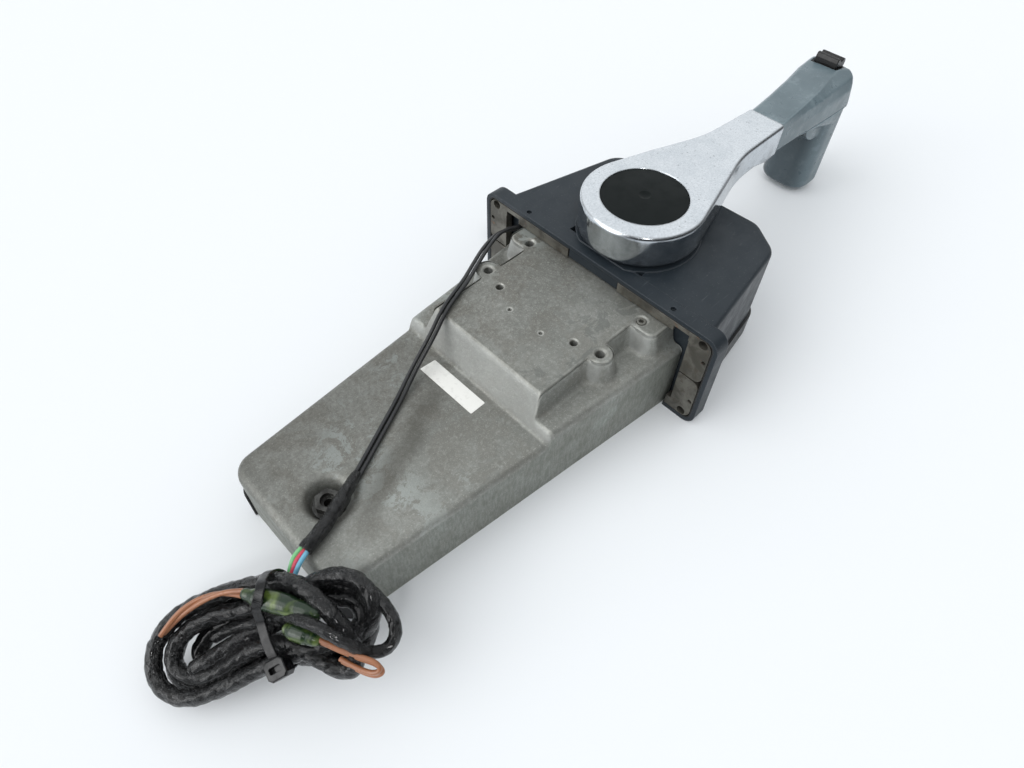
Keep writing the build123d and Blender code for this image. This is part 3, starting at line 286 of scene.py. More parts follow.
class Graph(Nodes):
    """Writes one material's shader nodes."""

    def __init__(self, name: str) -> None:
        """Make a material with a bare main shader.

        Args:
            name: Name of the material.
        """
        self.material = bpy.data.materials.new(name)
        self.material.use_nodes = True
        super().__init__(self.material.node_tree)
        self.shader = self.node("ShaderNodeBsdfPrincipled")
        self.feed(self.node("ShaderNodeOutputMaterial").inputs["Surface"], self.shader.outputs[0])

    def stretched(self, scale: Point, turn_deg: Point = (0.0, 0.0, 0.0), source: Socket | None = None) -> Socket:
        """Coordinates scaled by axis, after a turn.

        Args:
            scale: Factor on each axis.
            turn_deg: Turn about each axis, in degrees.
            source: Coordinates, or the surface's own place.

        Returns:
            The new coordinates.
        """
        mapping = self.node("ShaderNodeMapping")
        self.feed(mapping.inputs["Vector"], source or self.place())
        mapping.inputs["Rotation"].default_value = [math.radians(v) for v in turn_deg]
        mapping.inputs["Scale"].default_value = scale
        return mapping.outputs[0]

    def noise(self, scale: float, detail: float = 3.0, rough: float = 0.55, bend: float = 0.0,
              where: Socket | None = None) -> Socket:
        """Fractal noise, 0 to 1.

        Args:
            scale: Features per unit of length.
            detail: Octaves.
            rough: Weight of the finer octaves.
            bend: Distortion.
            where: Coordinates, or the surface's own place.

        Returns:
            The noise.
        """
        made = self.node("ShaderNodeTexNoise")
        for key, value in (
            ("Vector", where or self.place()), ("Scale", scale), ("Detail", detail), ("Roughness", rough),
            ("Distortion", bend),
        ):
            self.feed(made.inputs[key], value)
        return made.outputs[0]

    def cloud(self, noise: Noise, low: float, high: float, to_low: float = 0.0,
              to_high: float = 1.0) -> Socket:
        """Noise cut to a range.

        Args:
            noise: Scale, detail, roughness and distortion of the noise; the last ones may be left out.
            low: Noise that gives to_low.
            high: Noise that gives to_high.
            to_low: Lowest result.
            to_high: Highest result.

        Returns:
            The cut noise.
        """
        return self.span(self.noise(*noise), low, high, to_low, to_high)

    def mix(self, share: object, first: object, second: object) -> Socket:
        """Mix two colours.

        Args:
            share: How much of the second colour, 0 to 1.
            first: A colour.
            second: A colour.

        Returns:
            The mixed colour.
        """
        made = self.node("ShaderNodeMix", data_type="RGBA")
        for index, value in ((0, share), (6, first), (7, second)):
            self.feed(made.inputs[index], value)
        return made.outputs[2]

    def two_tone(self, noise: Noise, low: float, high: float, first: Display, second: Display) -> Socket:
        """Two colours in clouds."""
        return self.mix(self.cloud(noise, low, high), srgb(*first), srgb(*second))

    def over(self, colour: Socket, tint: Display, *masks: object) -> Socket:
        """Lay a tint over a colour, as strongly as the product of the masks says."""
        return self.mix(self.product(*masks), colour, srgb(*tint))

    def layers(self, colour: Socket, *layers: Layer) -> Socket:
        """Lay several tints over a colour, each in clouds of its own.

        Args:
            colour: The colour below.
            *layers: Noise, its low and high cut, the layer's strength and its tint.

        Returns:
            The colour with all layers.
        """
        for noise, low, high, share, tint in layers:
            colour = self.over(colour, tint, self.cloud(noise, low, high), share)
        return colour

    def geometry(self, output: str) -> Socket:
        """One output of the geometry node."""
        return self.node("ShaderNodeNewGeometry").outputs[output]

    def soft_normal(self, radius: float) -> Socket:
        """Normal with the edges rounded by a radius.

        Args:
            radius: Radius in metres.

        Returns:
            The normal.
        """
        made = self.node("ShaderNodeBevel", samples=6)
        made.inputs["Radius"].default_value = radius
        return made.outputs[0]

    def edge_mask(self, radius: float, low: float = 0.03, high: float = 0.22) -> Socket:
        """1 on sharp edges, 0 on flat faces."""
        return self.span(self.inverse(self.dot(self.soft_normal(radius), self.geometry("Normal"))), low, high)

    def upright(self, low: float = 0.25, high: float = 0.75) -> Socket:
        """1 on upright faces, 0 on level ones."""
        return self.span(self.maths("ABSOLUTE", self.axis(2, self.geometry("Normal"))), low, high, 1.0, 0.0)

    def bump(self, height: Socket, distance: float, normal: Socket) -> Socket:
        """Bump of a real depth in metres.

        Args:
            height: Height, as a share of the distance.
            distance: Depth in metres.
            normal: Normal of the face below.

        Returns:
            The bumped normal.
        """
        made = self.node("ShaderNodeBump")
        for key, value in (("Strength", 1.0), ("Distance", distance), ("Height", height), ("Normal", normal)):
            self.feed(made.inputs[key], value)
        return made.outputs[0]

    def grain(self, noise: Noise, depth: float, edge: float) -> Socket:
        """Noise grain of a real depth over softened edges."""
        return self.bump(self.noise(*noise), depth, self.soft_normal(edge))

    def surface(self, **values: object) -> bpy.types.Material:
        """Feed the main shader by input name, with underscores for blanks, and give the material.

        Args:
            **values: Socket or value for each input.

        Returns:
            The material.
        """
        for key, value in values.items():
            self.feed(self.shader.inputs[key.replace("_", " ")], value)
        return self.material


# How far a plain finish's roughness swings round its mean, and its grains per metre.
ROUGH_SPREAD = 0.1
GRAIN_SCALE = 1500.0
# Finishes of nodes that differ from the rest of their slot.
OWN_FINISHES = {
    "hub_button": Finish(
        "hub disc", (16, 21, 21), (24, 29, 29), patch_scale=40, roughness=0.42, shine=0.10,
    ),
    # The nut in the recessed dish is coloured dark, with darker patches over most of it.
    "recess_sleeve_nut": Finish(
        "dark nut", (84, 84, 82), (34, 33, 32), patch_scale=210, patch_share=0.7, roughness=0.34, metallic=0.8,
        grain=0.00005,
    ),
    "hank_tie": Finish("tie nylon", (10, 10, 12), (18, 18, 20), roughness=0.26, shine=0.4),
    "trim_rocker": Finish("rocker", (13, 14, 15), (26, 27, 29), roughness=0.3, shine=0.35),
    "trim_switch_body": Finish("switch body", (13, 14, 15), (24, 25, 27), roughness=0.36, shine=0.3),
    "pad_plug_screw": Finish(
        "flush plug", (128, 128, 122), (92, 90, 84), patch_scale=260, roughness=0.5, metallic=0.5,
    ),
}
# Finishes that need no more than patches and grain.
PLAIN_FINISHES = {
    Slot.RUBBER: Finish("soft rubber", (34, 35, 36), (52, 53, 53), roughness=0.7),
    Slot.STEEL: Finish(
        "ground steel", (168, 167, 163), (120, 112, 100), patch_scale=140, patch_share=0.4, roughness=0.36,
        metallic=0.9,
    ),
    Slot.GEAR: Finish(
        "sintered steel", (128, 124, 116), (92, 88, 82), patch_scale=220, roughness=0.5, metallic=0.8,
    ),
    Slot.BRONZE: Finish("bearing bronze", (176, 138, 84), (140, 104, 62), roughness=0.42, metallic=0.85),
    Slot.LEAD: Finish(
        "lead sheath", (26, 27, 29), (48, 49, 50), patch_scale=90, patch_share=0.35, roughness=0.38, coat=0.25,
        edge=0.0002,
    ),
    Slot.BROWN: Finish(
        "brown insulation", (152, 99, 66), (118, 74, 48), patch_scale=120, patch_share=0.5, roughness=0.34,
        coat=0.3, edge=0.0002,
    ),
}


class Finishes:
    """All the finishes of the control."""

    def __init__(self) -> None:
        """Make every finish once."""
        self.table: dict[Slot, bpy.types.Material] = {
            Slot.CAST: self.cast_metal(), Slot.CHROME: self.chrome(), Slot.SLATE: self.slate(),
            Slot.BLACK: self.black(), Slot.GRIP: self.grip(), Slot.PLATE: self.plate(), Slot.TAPE: self.tape(),
            Slot.BULLET: self.bullet(),
        }
        self.table.update({slot: self.plain(finish) for slot, finish in PLAIN_FINISHES.items()})
        self.own = {node: self.plain(finish) for node, finish in OWN_FINISHES.items()}

    @staticmethod
    def plain(finish: Finish) -> bpy.types.Material:
        """Make one plain finish.

        Args:
            finish: What it looks like.

        Returns:
            The material.
        """
        graph = Graph(finish.name)
        patches = graph.cloud((finish.patch_scale, 5), 0.38, 0.66)
        colour = graph.mix(
            graph.product(patches, finish.patch_share), srgb(*finish.colour), srgb(*finish.other)
        )
        rough = graph.cloud(
            (finish.patch_scale * 3, 3), 0.3, 0.7,
            finish.roughness - ROUGH_SPREAD, finish.roughness + ROUGH_SPREAD,
        )
        return graph.surface(
            Base_Color=colour, Roughness=rough, Metallic=finish.metallic,
            Normal=graph.grain((GRAIN_SCALE, 2), finish.grain, finish.edge),
            Coat_Weight=finish.coat, Coat_Roughness=0.25, Specular_IOR_Level=finish.shine,
        )

    @staticmethod
    def cast_metal() -> bpy.types.Material:
        """Weathered die-cast alloy: mottled grey with pale bloom, painted light towards -y and painted shade on the +y
        side of its end, a painted shadow beside the lead, a painted sheen on the ramp and edges lightened by painted
        highlight and wear.

        Returns:
            The material.
        """
        graph = Graph("weathered casting")
        colour = graph.layers(
            graph.two_tone((14, 4, 0.6, 0.6), 0.36, 0.64, (116, 117, 112), (137, 138, 133)),
            ((38, 9, 0.74, 0.5), 0.47, 0.56, 0.50, (106, 102, 94)),
            ((480, 7, 0.75), 0.38, 0.62, 0.42, (84, 84, 78)),
            ((420, 6, 0.72, 0.2), 0.52, 0.62, 0.22, (172, 175, 170)),
            ((1250, 3, 0.6), 0.58, 0.68, 0.40, (186, 186, 178)),
        )
        mottle = graph.cloud((64, 10, 0.78, 0.3), 0.52, 0.545)
        colour = graph.over(colour, (156, 162, 159), mottle, graph.cloud((15, 3, 0.5), 0.50, 0.64), 0.75)
        pad_side = graph.span(graph.axis(1), -0.034, 0.004, 1.0, 0.0)
        pad_top = graph.span(graph.axis(2), 0.0226, 0.0232)
        pitted = graph.cloud((62, 10, 0.74, 0.7), 0.545, 0.558)
        colour = graph.over(colour, (82, 84, 80), pitted, pad_side, pad_top, 0.72)
        # Painted light and shade: the casting is painted lighter towards -y, and painted shade darkens the +y side
        # towards the case's end.
        lit = graph.span(graph.axis(1), -0.034, 0.036, 1.0, 0.0)
        colour = graph.over(colour, (190, 193, 188), lit, 0.16)
        front = graph.span(graph.axis(0), -0.098, -0.088, 1.0, 0.0)
        colour = graph.over(colour, (84, 84, 80), graph.inverse(lit), front, 0.30)
        # Painted shadow: a soft dark band beside the lead on the plateau.
        colour = graph.over(colour, (66, 63, 56), Finishes.painted_lead_shadow(graph), 0.48)
        side = graph.product(graph.upright(0.12, 0.4), graph.span(graph.axis(2), 0.004, 0.009, 1.0, 0.0))
        stretched = graph.stretched((800.0, 800.0, 150.0), (0.0, 26.0, 0.0))
        side_colour = graph.two_tone((1, 6, 0.7, 0.3, stretched), 0.40, 0.62, (102, 107, 98), (142, 146, 138))
        colour = graph.mix(graph.product(side, 0.50), colour, side_colour)
        # Edges lightened: partly painted highlight along the rounded edges, partly wear.
        above = graph.span(graph.axis(2), -0.0015, 0.0005, 0.0, 0.8)
        bent = graph.product(graph.span(graph.geometry("Pointiness"), 0.508, 0.540), above)
        edge = graph.maths("MAXIMUM", graph.edge_mask(0.0022, 0.02, 0.18), bent)
        # Painted sheen: faces turned towards -x above the plateau, chiefly the ramp up to the pad, are painted
        # lighter.
        ramp = graph.span(graph.axis(0, graph.geometry("Normal")), -0.88, -0.55, 1.0, 0.0)
        colour = graph.over(colour, (188, 190, 188), ramp, graph.span(graph.axis(2), 0.0035, 0.0075), 0.42)
        colour = graph.over(colour, (196, 197, 191), edge, graph.cloud((160, 4), 0.36, 0.6, 0.35, 0.95))
        rough = graph.cloud((90, 6, 0.65), 0.3, 0.7, 0.38, 0.60)
        normal = graph.bump(graph.noise(300, 6, 0.66), 0.00022, graph.grain((1500, 4, 0.65), 0.00012, 0.0009))
        return graph.surface(Base_Color=colour, Roughness=rough, Metallic=0.5, Normal=normal)

    @staticmethod
    def painted_lead_shadow(graph: Graph) -> Socket:
        """Mask of the painted shadow beside the lead: 1 near its line, which wanders with noise, and 0 away from it.

        Args:
            graph: Shader nodes to write into.

        Returns:
            The mask, 0 to 1.
        """
        start = np.array([-0.104, 0.010])
        end = np.array([-0.190, -0.030])
        along = (end - start) / np.linalg.norm(end - start)
        place = graph.place()
        x, y = graph.axis(0, place), graph.axis(1, place)
        offset = graph.maths(
            "ADD",
            graph.product(graph.maths("SUBTRACT", x, float(start[0])), float(-along[1])),
            graph.product(graph.maths("SUBTRACT", y, float(start[1])), float(along[0])),
        )
        wander = graph.product(graph.maths("SUBTRACT", graph.noise(30, 3), 0.5), 0.02)
        distance = graph.maths("ABSOLUTE", graph.maths("ADD", offset, wander))
        return graph.product(
            graph.span(distance, 0.001, 0.011, 1.0, 0.0), graph.span(x, -0.196, -0.165),
            graph.span(x, -0.110, -0.096, 1.0, 0.0),
        )

    @staticmethod
    def chrome() -> bpy.types.Material:
        """Worn chrome plate: bright, with clouds of fine pitting on its top face, and painted reflections: its upright
        faces darker and bluer, darker clouds towards their foot, and a dark band on the edges turned towards -y.

        Returns:
            The material.
        """
        graph = Graph("worn chrome")
        level = graph.inverse(graph.upright())
        bloom = graph.product(
            graph.cloud((46, 8, 0.72, 0.4), 0.36, 0.68), graph.span(level, 0.0, 1.0, 0.35, 1.0)
        )
        colour = graph.mix(graph.product(bloom, 0.5), srgb(226, 230, 234), srgb(196, 203, 209))
        colour = graph.layers(colour, ((900, 4, 0.7), 0.38, 0.66, 0.26, (160, 168, 175)))
        # Painted reflection: upright faces are painted darker and bluer.
        upright = graph.span(level, 0.0, 0.5, 1.0, 0.0)
        colour = graph.over(colour, (146, 156, 166), upright, 0.35)
        # Painted reflection: darker clouds on the upright faces, strongest towards their foot.
        reflection_mottle = graph.cloud((130, 7, 0.72, 0.6), 0.46, 0.60)
        low = graph.span(graph.axis(2), 0.030, 0.046, 1.0, 0.25)
        colour = graph.over(colour, (70, 78, 84), upright, reflection_mottle, low, 0.6)
        colour = graph.layers(colour, ((520, 4, 0.62), 0.64, 0.70, 0.55, (96, 98, 100)))
        # Painted reflection: a dark band on the rounded edges of faces turned towards -y, where they tilt between
        # level and upright.
        rounded = graph.soft_normal(0.0019)
        tilt = graph.axis(2, rounded)
        colour = graph.over(
            colour, (24, 27, 30), graph.span(tilt, 0.16, 0.34), graph.span(tilt, 0.55, 0.74, 1.0, 0.0),
            graph.span(graph.axis(1, rounded), -0.55, -0.15, 1.0, 0.0), 0.9,
        )
        rough = graph.maths("ADD", graph.cloud((120, 5), 0.3, 0.7, 0.06, 0.14), graph.product(bloom, 0.20))
        return graph.surface(
            Base_Color=colour, Roughness=rough, Metallic=graph.inverse(graph.product(bloom, 0.18)),
            Normal=graph.grain((380, 4), 0.00003, 0.0019),
        )

    @staticmethod
    def slate() -> bpy.types.Material:
        """Slate-coloured plastic with fine grain, scuffs and dust.

        Returns:
            The material.
        """
        graph = Graph("slate plastic")
        stretched = graph.stretched((60.0, 900.0, 60.0), (0.0, 0.0, 35.0))
        colour = graph.layers(
            graph.two_tone((24, 4), 0.35, 0.65, (33, 40, 46), (39, 46, 52)),
            ((1700, 1, 0.4), 0.72, 0.78, 0.30, (150, 152, 150)),
            ((1, 5, 0.6, 0.3, stretched), 0.62, 0.74, 0.22, (112, 116, 120)),
        )
        colour = graph.over(colour, (104, 108, 114), graph.edge_mask(0.0007), 0.35)
        return graph.surface(
            Base_Color=colour, Roughness=graph.cloud((90, 4), 0.3, 0.7, 0.36, 0.52),
            Normal=graph.grain((2600, 2), 0.000035, 0.0006), Specular_IOR_Level=0.30,
        )

    @staticmethod
    def black() -> bpy.types.Material:
        """Near-black plastic with a satin face and a little dust.

        Returns:
            The material.
        """
        graph = Graph("black plastic")
        colour = graph.layers(
            graph.two_tone((60, 4), 0.35, 0.65, (17, 19, 20), (25, 27, 28)),
            ((1700, 1, 0.4), 0.70, 0.77, 0.4, (110, 112, 112)),
        )
        return graph.surface(
            Base_Color=colour, Roughness=graph.cloud((200, 4), 0.3, 0.7, 0.34, 0.5),
            Normal=graph.grain((1100, 3), 0.00004, 0.0005),
        )

    @staticmethod
    def grip() -> bpy.types.Material:
        """Grey-blue grip plastic with a soft satin grain, a painted highlight on its creases and painted shade on
        faces turned towards -x and down.

        Returns:
            The material.
        """
        graph = Graph("grip plastic")
        colour = graph.layers(
            graph.two_tone((30, 4), 0.35, 0.65, (86, 102, 109), (97, 113, 120)),
            ((900, 2), 0.66, 0.74, 0.3, (160, 168, 170)),
            ((110, 6, 0.7, 0.4), 0.50, 0.66, 0.22, (150, 164, 170)),
        )
        # Painted highlight: sharp creases, found by pointiness, are painted lighter.
        crease = graph.span(graph.geometry("Pointiness"), 0.505, 0.530)
        colour = graph.over(colour, (158, 174, 181), crease, 0.30)
        # Painted shade: faces turned towards -x and down are painted darker.
        away = graph.dot(graph.geometry("Normal"), (-0.86, 0.42, -0.28))
        colour = graph.over(colour, (42, 51, 57), graph.span(away, 0.05, 0.85), 0.72)
        return graph.surface(
            Base_Color=colour, Roughness=graph.cloud((80, 4), 0.3, 0.7, 0.26, 0.38),
            Normal=graph.grain((2200, 2), 0.00003, 0.0016),
        )

    @staticmethod
    def plate() -> bpy.types.Material:
        """Aged zinc plate, tan-grey with dark dirt and a little rust.

        Returns:
            The material.
        """
        graph = Graph("aged zinc plate")
        colour = graph.layers(
            graph.two_tone((70, 5, 0.65, 0.5), 0.38, 0.64, (78, 76, 70), (112, 110, 103)),
            ((190, 5, 0.6), 0.54, 0.66, 0.6, (78, 72, 62)),
            ((120, 4, 0.6, 1.0), 0.62, 0.70, 0.5, (126, 88, 60)),
        )
        return graph.surface(
            Base_Color=colour, Roughness=graph.cloud((150, 4), 0.3, 0.7, 0.36, 0.6), Metallic=0.55,
            Normal=graph.grain((500, 4), 0.00006, 0.0004),
        )

    @staticmethod
    def tape() -> bpy.types.Material:
        """Black wrapping tape, half glossy, with slanting creases along the wrap and painted glints on their ridges.

        Returns:
            The material.
        """
        graph = Graph("wrapping tape")
        uv = graph.node("ShaderNodeUVMap", uv_map="wrap").outputs[0]
        slanted = graph.stretched((4.0, 1.5, 1.0), (0.0, 0.0, 38.0), uv)
        folds = graph.cloud((2.0, 4, 0.55, 1.2, slanted), 0.30, 0.70, -1.0, 1.0)
        ridge = graph.inverse(graph.maths("ABSOLUTE", folds))
        colour = graph.two_tone((150, 3), 0.4, 0.6, (6, 6, 8), (12, 13, 15))
        # Painted glints: the ridges of the creases are lightened in clouds.
        wear_and_glint = graph.cloud((300, 2), 0.50, 0.64)
        colour = graph.over(colour, (96, 100, 104), graph.span(ridge, 0.84, 1.0), wear_and_glint, 0.30)
        fine = graph.noise(1, 4, 0.6, 0.8, graph.stretched((900.0, 900.0, 900.0)))
        normal = graph.bump(fine, 0.00007, graph.bump(ridge, 0.0019, graph.soft_normal(0.0003)))
        return graph.surface(
            Base_Color=colour, Roughness=graph.cloud((260, 3), 0.3, 0.7, 0.09, 0.20), Normal=normal,
            Coat_Weight=0.45, Coat_Roughness=0.07,
        )

    @staticmethod
    def bullet() -> bpy.types.Material:
        """Dark green sleeve with a yellower glint where the connector lies.

        Returns:
            The material.
        """
        graph = Graph("clear green sleeve")
        colour = graph.layers(
            graph.two_tone((130, 3, 0.5, 0.6), 0.46, 0.74, (22, 42, 24), (98, 116, 56)),
            ((110, 3, 0.5, 0.6), 0.42, 0.70, 0.75, (26, 44, 24)),
        )
        return graph.surface(
            Base_Color=colour, Roughness=0.24, Normal=graph.grain((260, 3), 0.0002, 0.0006), Coat_Weight=0.30,
            Coat_Roughness=0.08, Specular_IOR_Level=0.4,
        )

    @staticmethod
    def flat(name: str, colour: Display, roughness: float) -> bpy.types.Material:
        """One even colour, for wire cores and the bare label.

        Args:
            name: Name of the material.
            colour: Display colour.
            roughness: Roughness, 0 to 1.

        Returns:
            The material.
        """
        graph = Graph(name)
        tint = graph.mix(graph.product(graph.cloud((400, 3), 0.5, 0.7), 0.12), srgb(*colour), srgb(120, 118, 110))
        return graph.surface(Base_Color=tint, Roughness=roughness, Normal=graph.soft_normal(0.0002))

    def paint(self, frame: dict) -> None:
        """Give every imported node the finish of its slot.
        """
        for part in frame["record"]["subparts"]:
            node = frame["nodes"].get(part["node"])
            if node is None or node.hide_render:
                continue
            node.data.materials.clear()
            node.data.materials.append(self.own.get(part["node"], self.table[Slot(part["material_slot"])]))


# ---- routes, in millimetres ----
LEAD_ROUTE: list[Point] = [
    (9.5, 56.6, 21.5), (2.0, 56.6, 21.5), (-5.0, 60.6, 21.8), (-13.5, 61.3, 22.6), (-27.9, 55.8, 24.4),
    (-42.6, 48.3, 26.0), (-55.5, 42.0, 26.0), (-70.6, 36.7, 26.0), (-80.5, 32.3, 25.9), (-90.0, 28.6, 21.2),
    (-98.7, 26.7, 15.6), (-111.0, 23.3, 8.6), (-124.3, 17.0, 5.4), (-143.9, 7.2, 5.3), (-161.7, -1.9, 5.3),
    (-174.0, -8.2, 6.2),
]
LEAD_SPACING = 2.56
LEAD_DIAMETER = 2.2
# Name, colour and sideways place of each core.
CORES = (
    ("core_green", (120, 190, 130), 2.0), ("core_red", (205, 70, 92), 0.0), ("core_blue", (112, 178, 206), -2.0),
)
WIRE_SHIFT = 1.15
LOOM_STEP = 2.0
STRAND_STEP = 0.6
TUBE_SIDES = 36
SLEEVE_ROUTE: list[Point] = [
    (-165.5, -3.6, 6.6), (-174.3, -8.4, 7.6), (-182.0, -12.0, 7.6), (-190.0, -15.4, 7.5), (-198.0, -17.8, 7.4),
    (-205.6, -19.8, 7.2),
]
SLEEVE_DIAMETER = 6.0
# Radius of the sleeve along its run, as (share, millimetres).
SLEEVE_RADII = (
    (0.0, 1.9), (0.06, 2.5), (0.2, 3.1), (0.36, 3.7), (0.5, 3.5), (0.555, 2.9), (0.6, 3.1), (0.7, 3.5), (0.86, 3.4),
    (1.0, 3.3),
)
# Tie strap on the hank's plane, once round.
STRAP_ROUTE: list[Point] = [
    (11.6, 27.4, 10.0), (13.4, 25.4, 15.4), (14.3, 22.2, 18.6), (12.8, 18.4, 18.6), (9.6, 15.0, 14.8),
    (8.2, 12.0, 11.6), (7.8, 9.4, 9.9), (8.4, 5.2, 9.6), (9.4, 0.6, 9.6), (11.6, -5.4, 9.4), (12.8, -9.6, 6.6),
    (12.4, -11.4, 0.0), (11.4, -10.0, -6.4), (10.0, -2.0, -8.8), (9.6, 8.0, -9.0), (10.2, 19.0, -8.8),
    (11.0, 26.4, -6.6), (11.2, 29.0, 0.0), (11.2, 28.8, 5.4),
]
# Start, end and greatest radius of each connector sleeve, and its radius along the run as shares.
BULLETS: list[tuple[Point, Point, float]] = [
    ((2.6, 22.4, 12.6), (36.0, 8.1, 12.6), 4.6), ((19.0, 5.8, 11.9), (34.2, -1.8, 11.9), 3.9),
]
BULLET_SHAPE = (
    (0.0, 0.42), (0.03, 0.55), (0.11, 0.62), (0.16, 0.80), (0.26, 0.95), (0.44, 1.0), (0.60, 0.97), (0.68, 0.84),
    (0.84, 0.78), (0.92, 0.66), (0.97, 0.56), (1.0, 0.40),
)
STRAP_WIDTH = 4.4
STRAP_THICK = 1.15
STRAP_HEAD = (13.4, -9.6, 9.6)
BROWN_LEFT: list[Point] = [
    (3.0, 22.1, 12.4), (-4.0, 23.6, 11.2), (-13.0, 24.0, 9.6), (-23.0, 21.8, 9.4), (-32.0, 17.6, 9.4),
    (-39.0, 11.6, 9.4),
]
BROWN_RIGHT: list[Point] = [
    (34.0, -1.8, 11.4), (39.0, -5.0, 10.8), (44.5, -8.4, 10.0), (50.0, -11.2, 9.6), (55.6, -14.0, 9.2),
    (57.2, -17.4, 8.4), (53.0, -18.4, 7.8), (46.0, -15.0, 7.6), (40.0, -10.6, 7.8),
]
# Main loom on the hank's plane: along, across and off it, turn by turn.
LOOM_ROUTE: list[Point] = [
    (15.0, 24.6, -2.6), (8.0, 23.0, -3.6), (-10.0, 21.5, -3.8), (-28.0, 17.0, -3.8),
    (-41.0, 8.0, -3.8), (-46.5, -3.0, -3.8), (-41.0, -12.0, -3.8), (-28.0, -13.5, -3.8), (-10.0, -9.5, -3.8),
    (8.0, -7.0, -3.8), (24.0, -9.5, -3.8), (38.0, -12.5, -3.8), (47.0, -8.0, -3.8), (51.0, 2.0, -3.8),
    (47.0, 13.0, -3.8), (36.0, 19.0, -3.8), (22.0, 18.5, -3.8), (8.0, 15.3, -3.8),
    (-8.0, 13.5, -3.8), (-24.0, 9.5, -3.8), (-33.5, 1.5, -3.8), (-31.0, -5.5, -3.8), (-19.0, -5.5, -3.8),
    (-5.0, -1.0, -3.8), (8.0, 0.4, -3.8), (22.0, -1.0, -3.8), (34.0, -4.5, -3.6), (44.0, -4.0, -2.4),
    (53.0, 1.0, 1.0), (56.5, 9.0, 3.6), (52.0, 18.0, 4.0), (43.0, 23.5, 4.0), (31.0, 22.0, 4.0),
    (20.0, 18.0, 3.8), (8.0, 15.5, 3.8), (-2.0, 15.2, 3.8), (-14.0, 16.3, 3.8), (-28.0, 13.0, 3.8),
    (-38.5, 6.5, 3.8), (-41.0, -1.0, 3.8), (-35.0, -7.5, 3.8), (-23.0, -9.5, 3.8), (-8.0, -4.0, 3.8),
    (8.0, 0.6, 3.8), (21.0, -3.5, 3.8), (30.0, -10.5, 3.2), (37.0, -16.5, 2.6), (42.5, -18.0, 2.8),
    (46.5, -13.5, 5.0), (47.0, -5.5, 8.6), (44.0, 2.5, 11.4), (36.5, 13.0, 12.0), (27.0, 21.5, 9.0),
    (15.0, 25.4, 5.0), (8.0, 24.6, 3.9), (-3.0, 25.0, 4.0), (-16.0, 23.6, 4.0), (-34.0, 19.0, 4.0),
    (-45.0, 11.0, 4.0), (-50.0, 1.0, 4.0), (-48.0, -8.5, 4.0), (-38.0, -16.0, 4.0), (-24.0, -16.5, 4.0),
    (-10.0, -12.5, 4.0), (8.0, -7.2, 3.9), (20.0, -5.5, 3.8), (34.0, -5.0, 3.6), (45.0, -3.0, 2.6),
    (50.5, 4.0, 0.6), (47.0, 12.0, -0.4), (37.0, 13.5, 0.6), (22.0, 9.5, 0.6), (8.0, 7.6, 0.4),
    (-5.0, 4.6, 2.6), (-14.0, 0.4, 4.4), (-22.0, -3.2, 4.8), (-30.0, -5.4, 4.8),
]
LOOM_DIAMETER = 7.2
LOOM_LENGTH = 0.906
BRANCH_ROUTE: list[Point] = [
    (45.0, 20.0, 0.0), (54.0, 13.5, 1.0), (60.5, 6.0, 2.0), (64.0, 0.0, 2.4), (64.0, -6.0, 2.4),
    (59.5, -10.8, 2.6), (53.0, -11.5, 4.0), (49.0, -8.0, 9.0), (45.0, -3.0, 15.6), (38.5, 3.2, 18.4),
    (30.0, 7.4, 16.6), (21.0, 10.2, 12.0), (13.0, 10.6, 7.4), (6.0, 10.0, 4.6), (-4.0, 9.4, 3.0),
    (-14.0, 9.0, 1.0), (-22.0, 6.0, 0.0),
]
BRANCH_DIAMETER = 5.2
BRANCH_LENGTH = 0.133
LABEL_CORNERS = ((-102.8, 26.4), (-93.0, 25.7), (-92.8, -13.7), (-102.6, -13.9))
LABEL_TOP = 4.1
SLOPE_ROOT = 6.0
PIN_MARKS = ((-51.3, 11.5), (-51.3, -11.5))


class HankPlane:
    """The tied hank's leaning middle plane, and places on it."""

    CENTRE = np.array([-242.0, -34.0, -9.5])
    HEADING = np.array([0.77, -0.64])
    RISE_ALONG = 0.3
    RISE_ACROSS = 0.5

    def __init__(self) -> None:
        """Work out the plane's three unit axes from its heading and its two rises."""
        ax, ay = self.HEADING / np.linalg.norm(self.HEADING)
        along = np.array([ax, ay, self.RISE_ALONG])
        across = np.array([-ay, ax, self.RISE_ACROSS])
        self.along = along / np.linalg.norm(along)
        off = np.cross(along, across)
        self.off = off / np.linalg.norm(off)
        self.across = np.cross(self.off, self.along)

    def places(self, points: Sequence[Point]) -> np.ndarray:
        """Turn places on the plane into places in the row frame.

        Args:
            points: Along, across and off the plane, in millimetres.

        Returns:
            The places in millimetres, one row each.
        """
        table = np.array(points, float)
        return self.CENTRE + table[:, :1] * self.along + table[:, 1:2] * self.across + table[:, 2:] * self.off


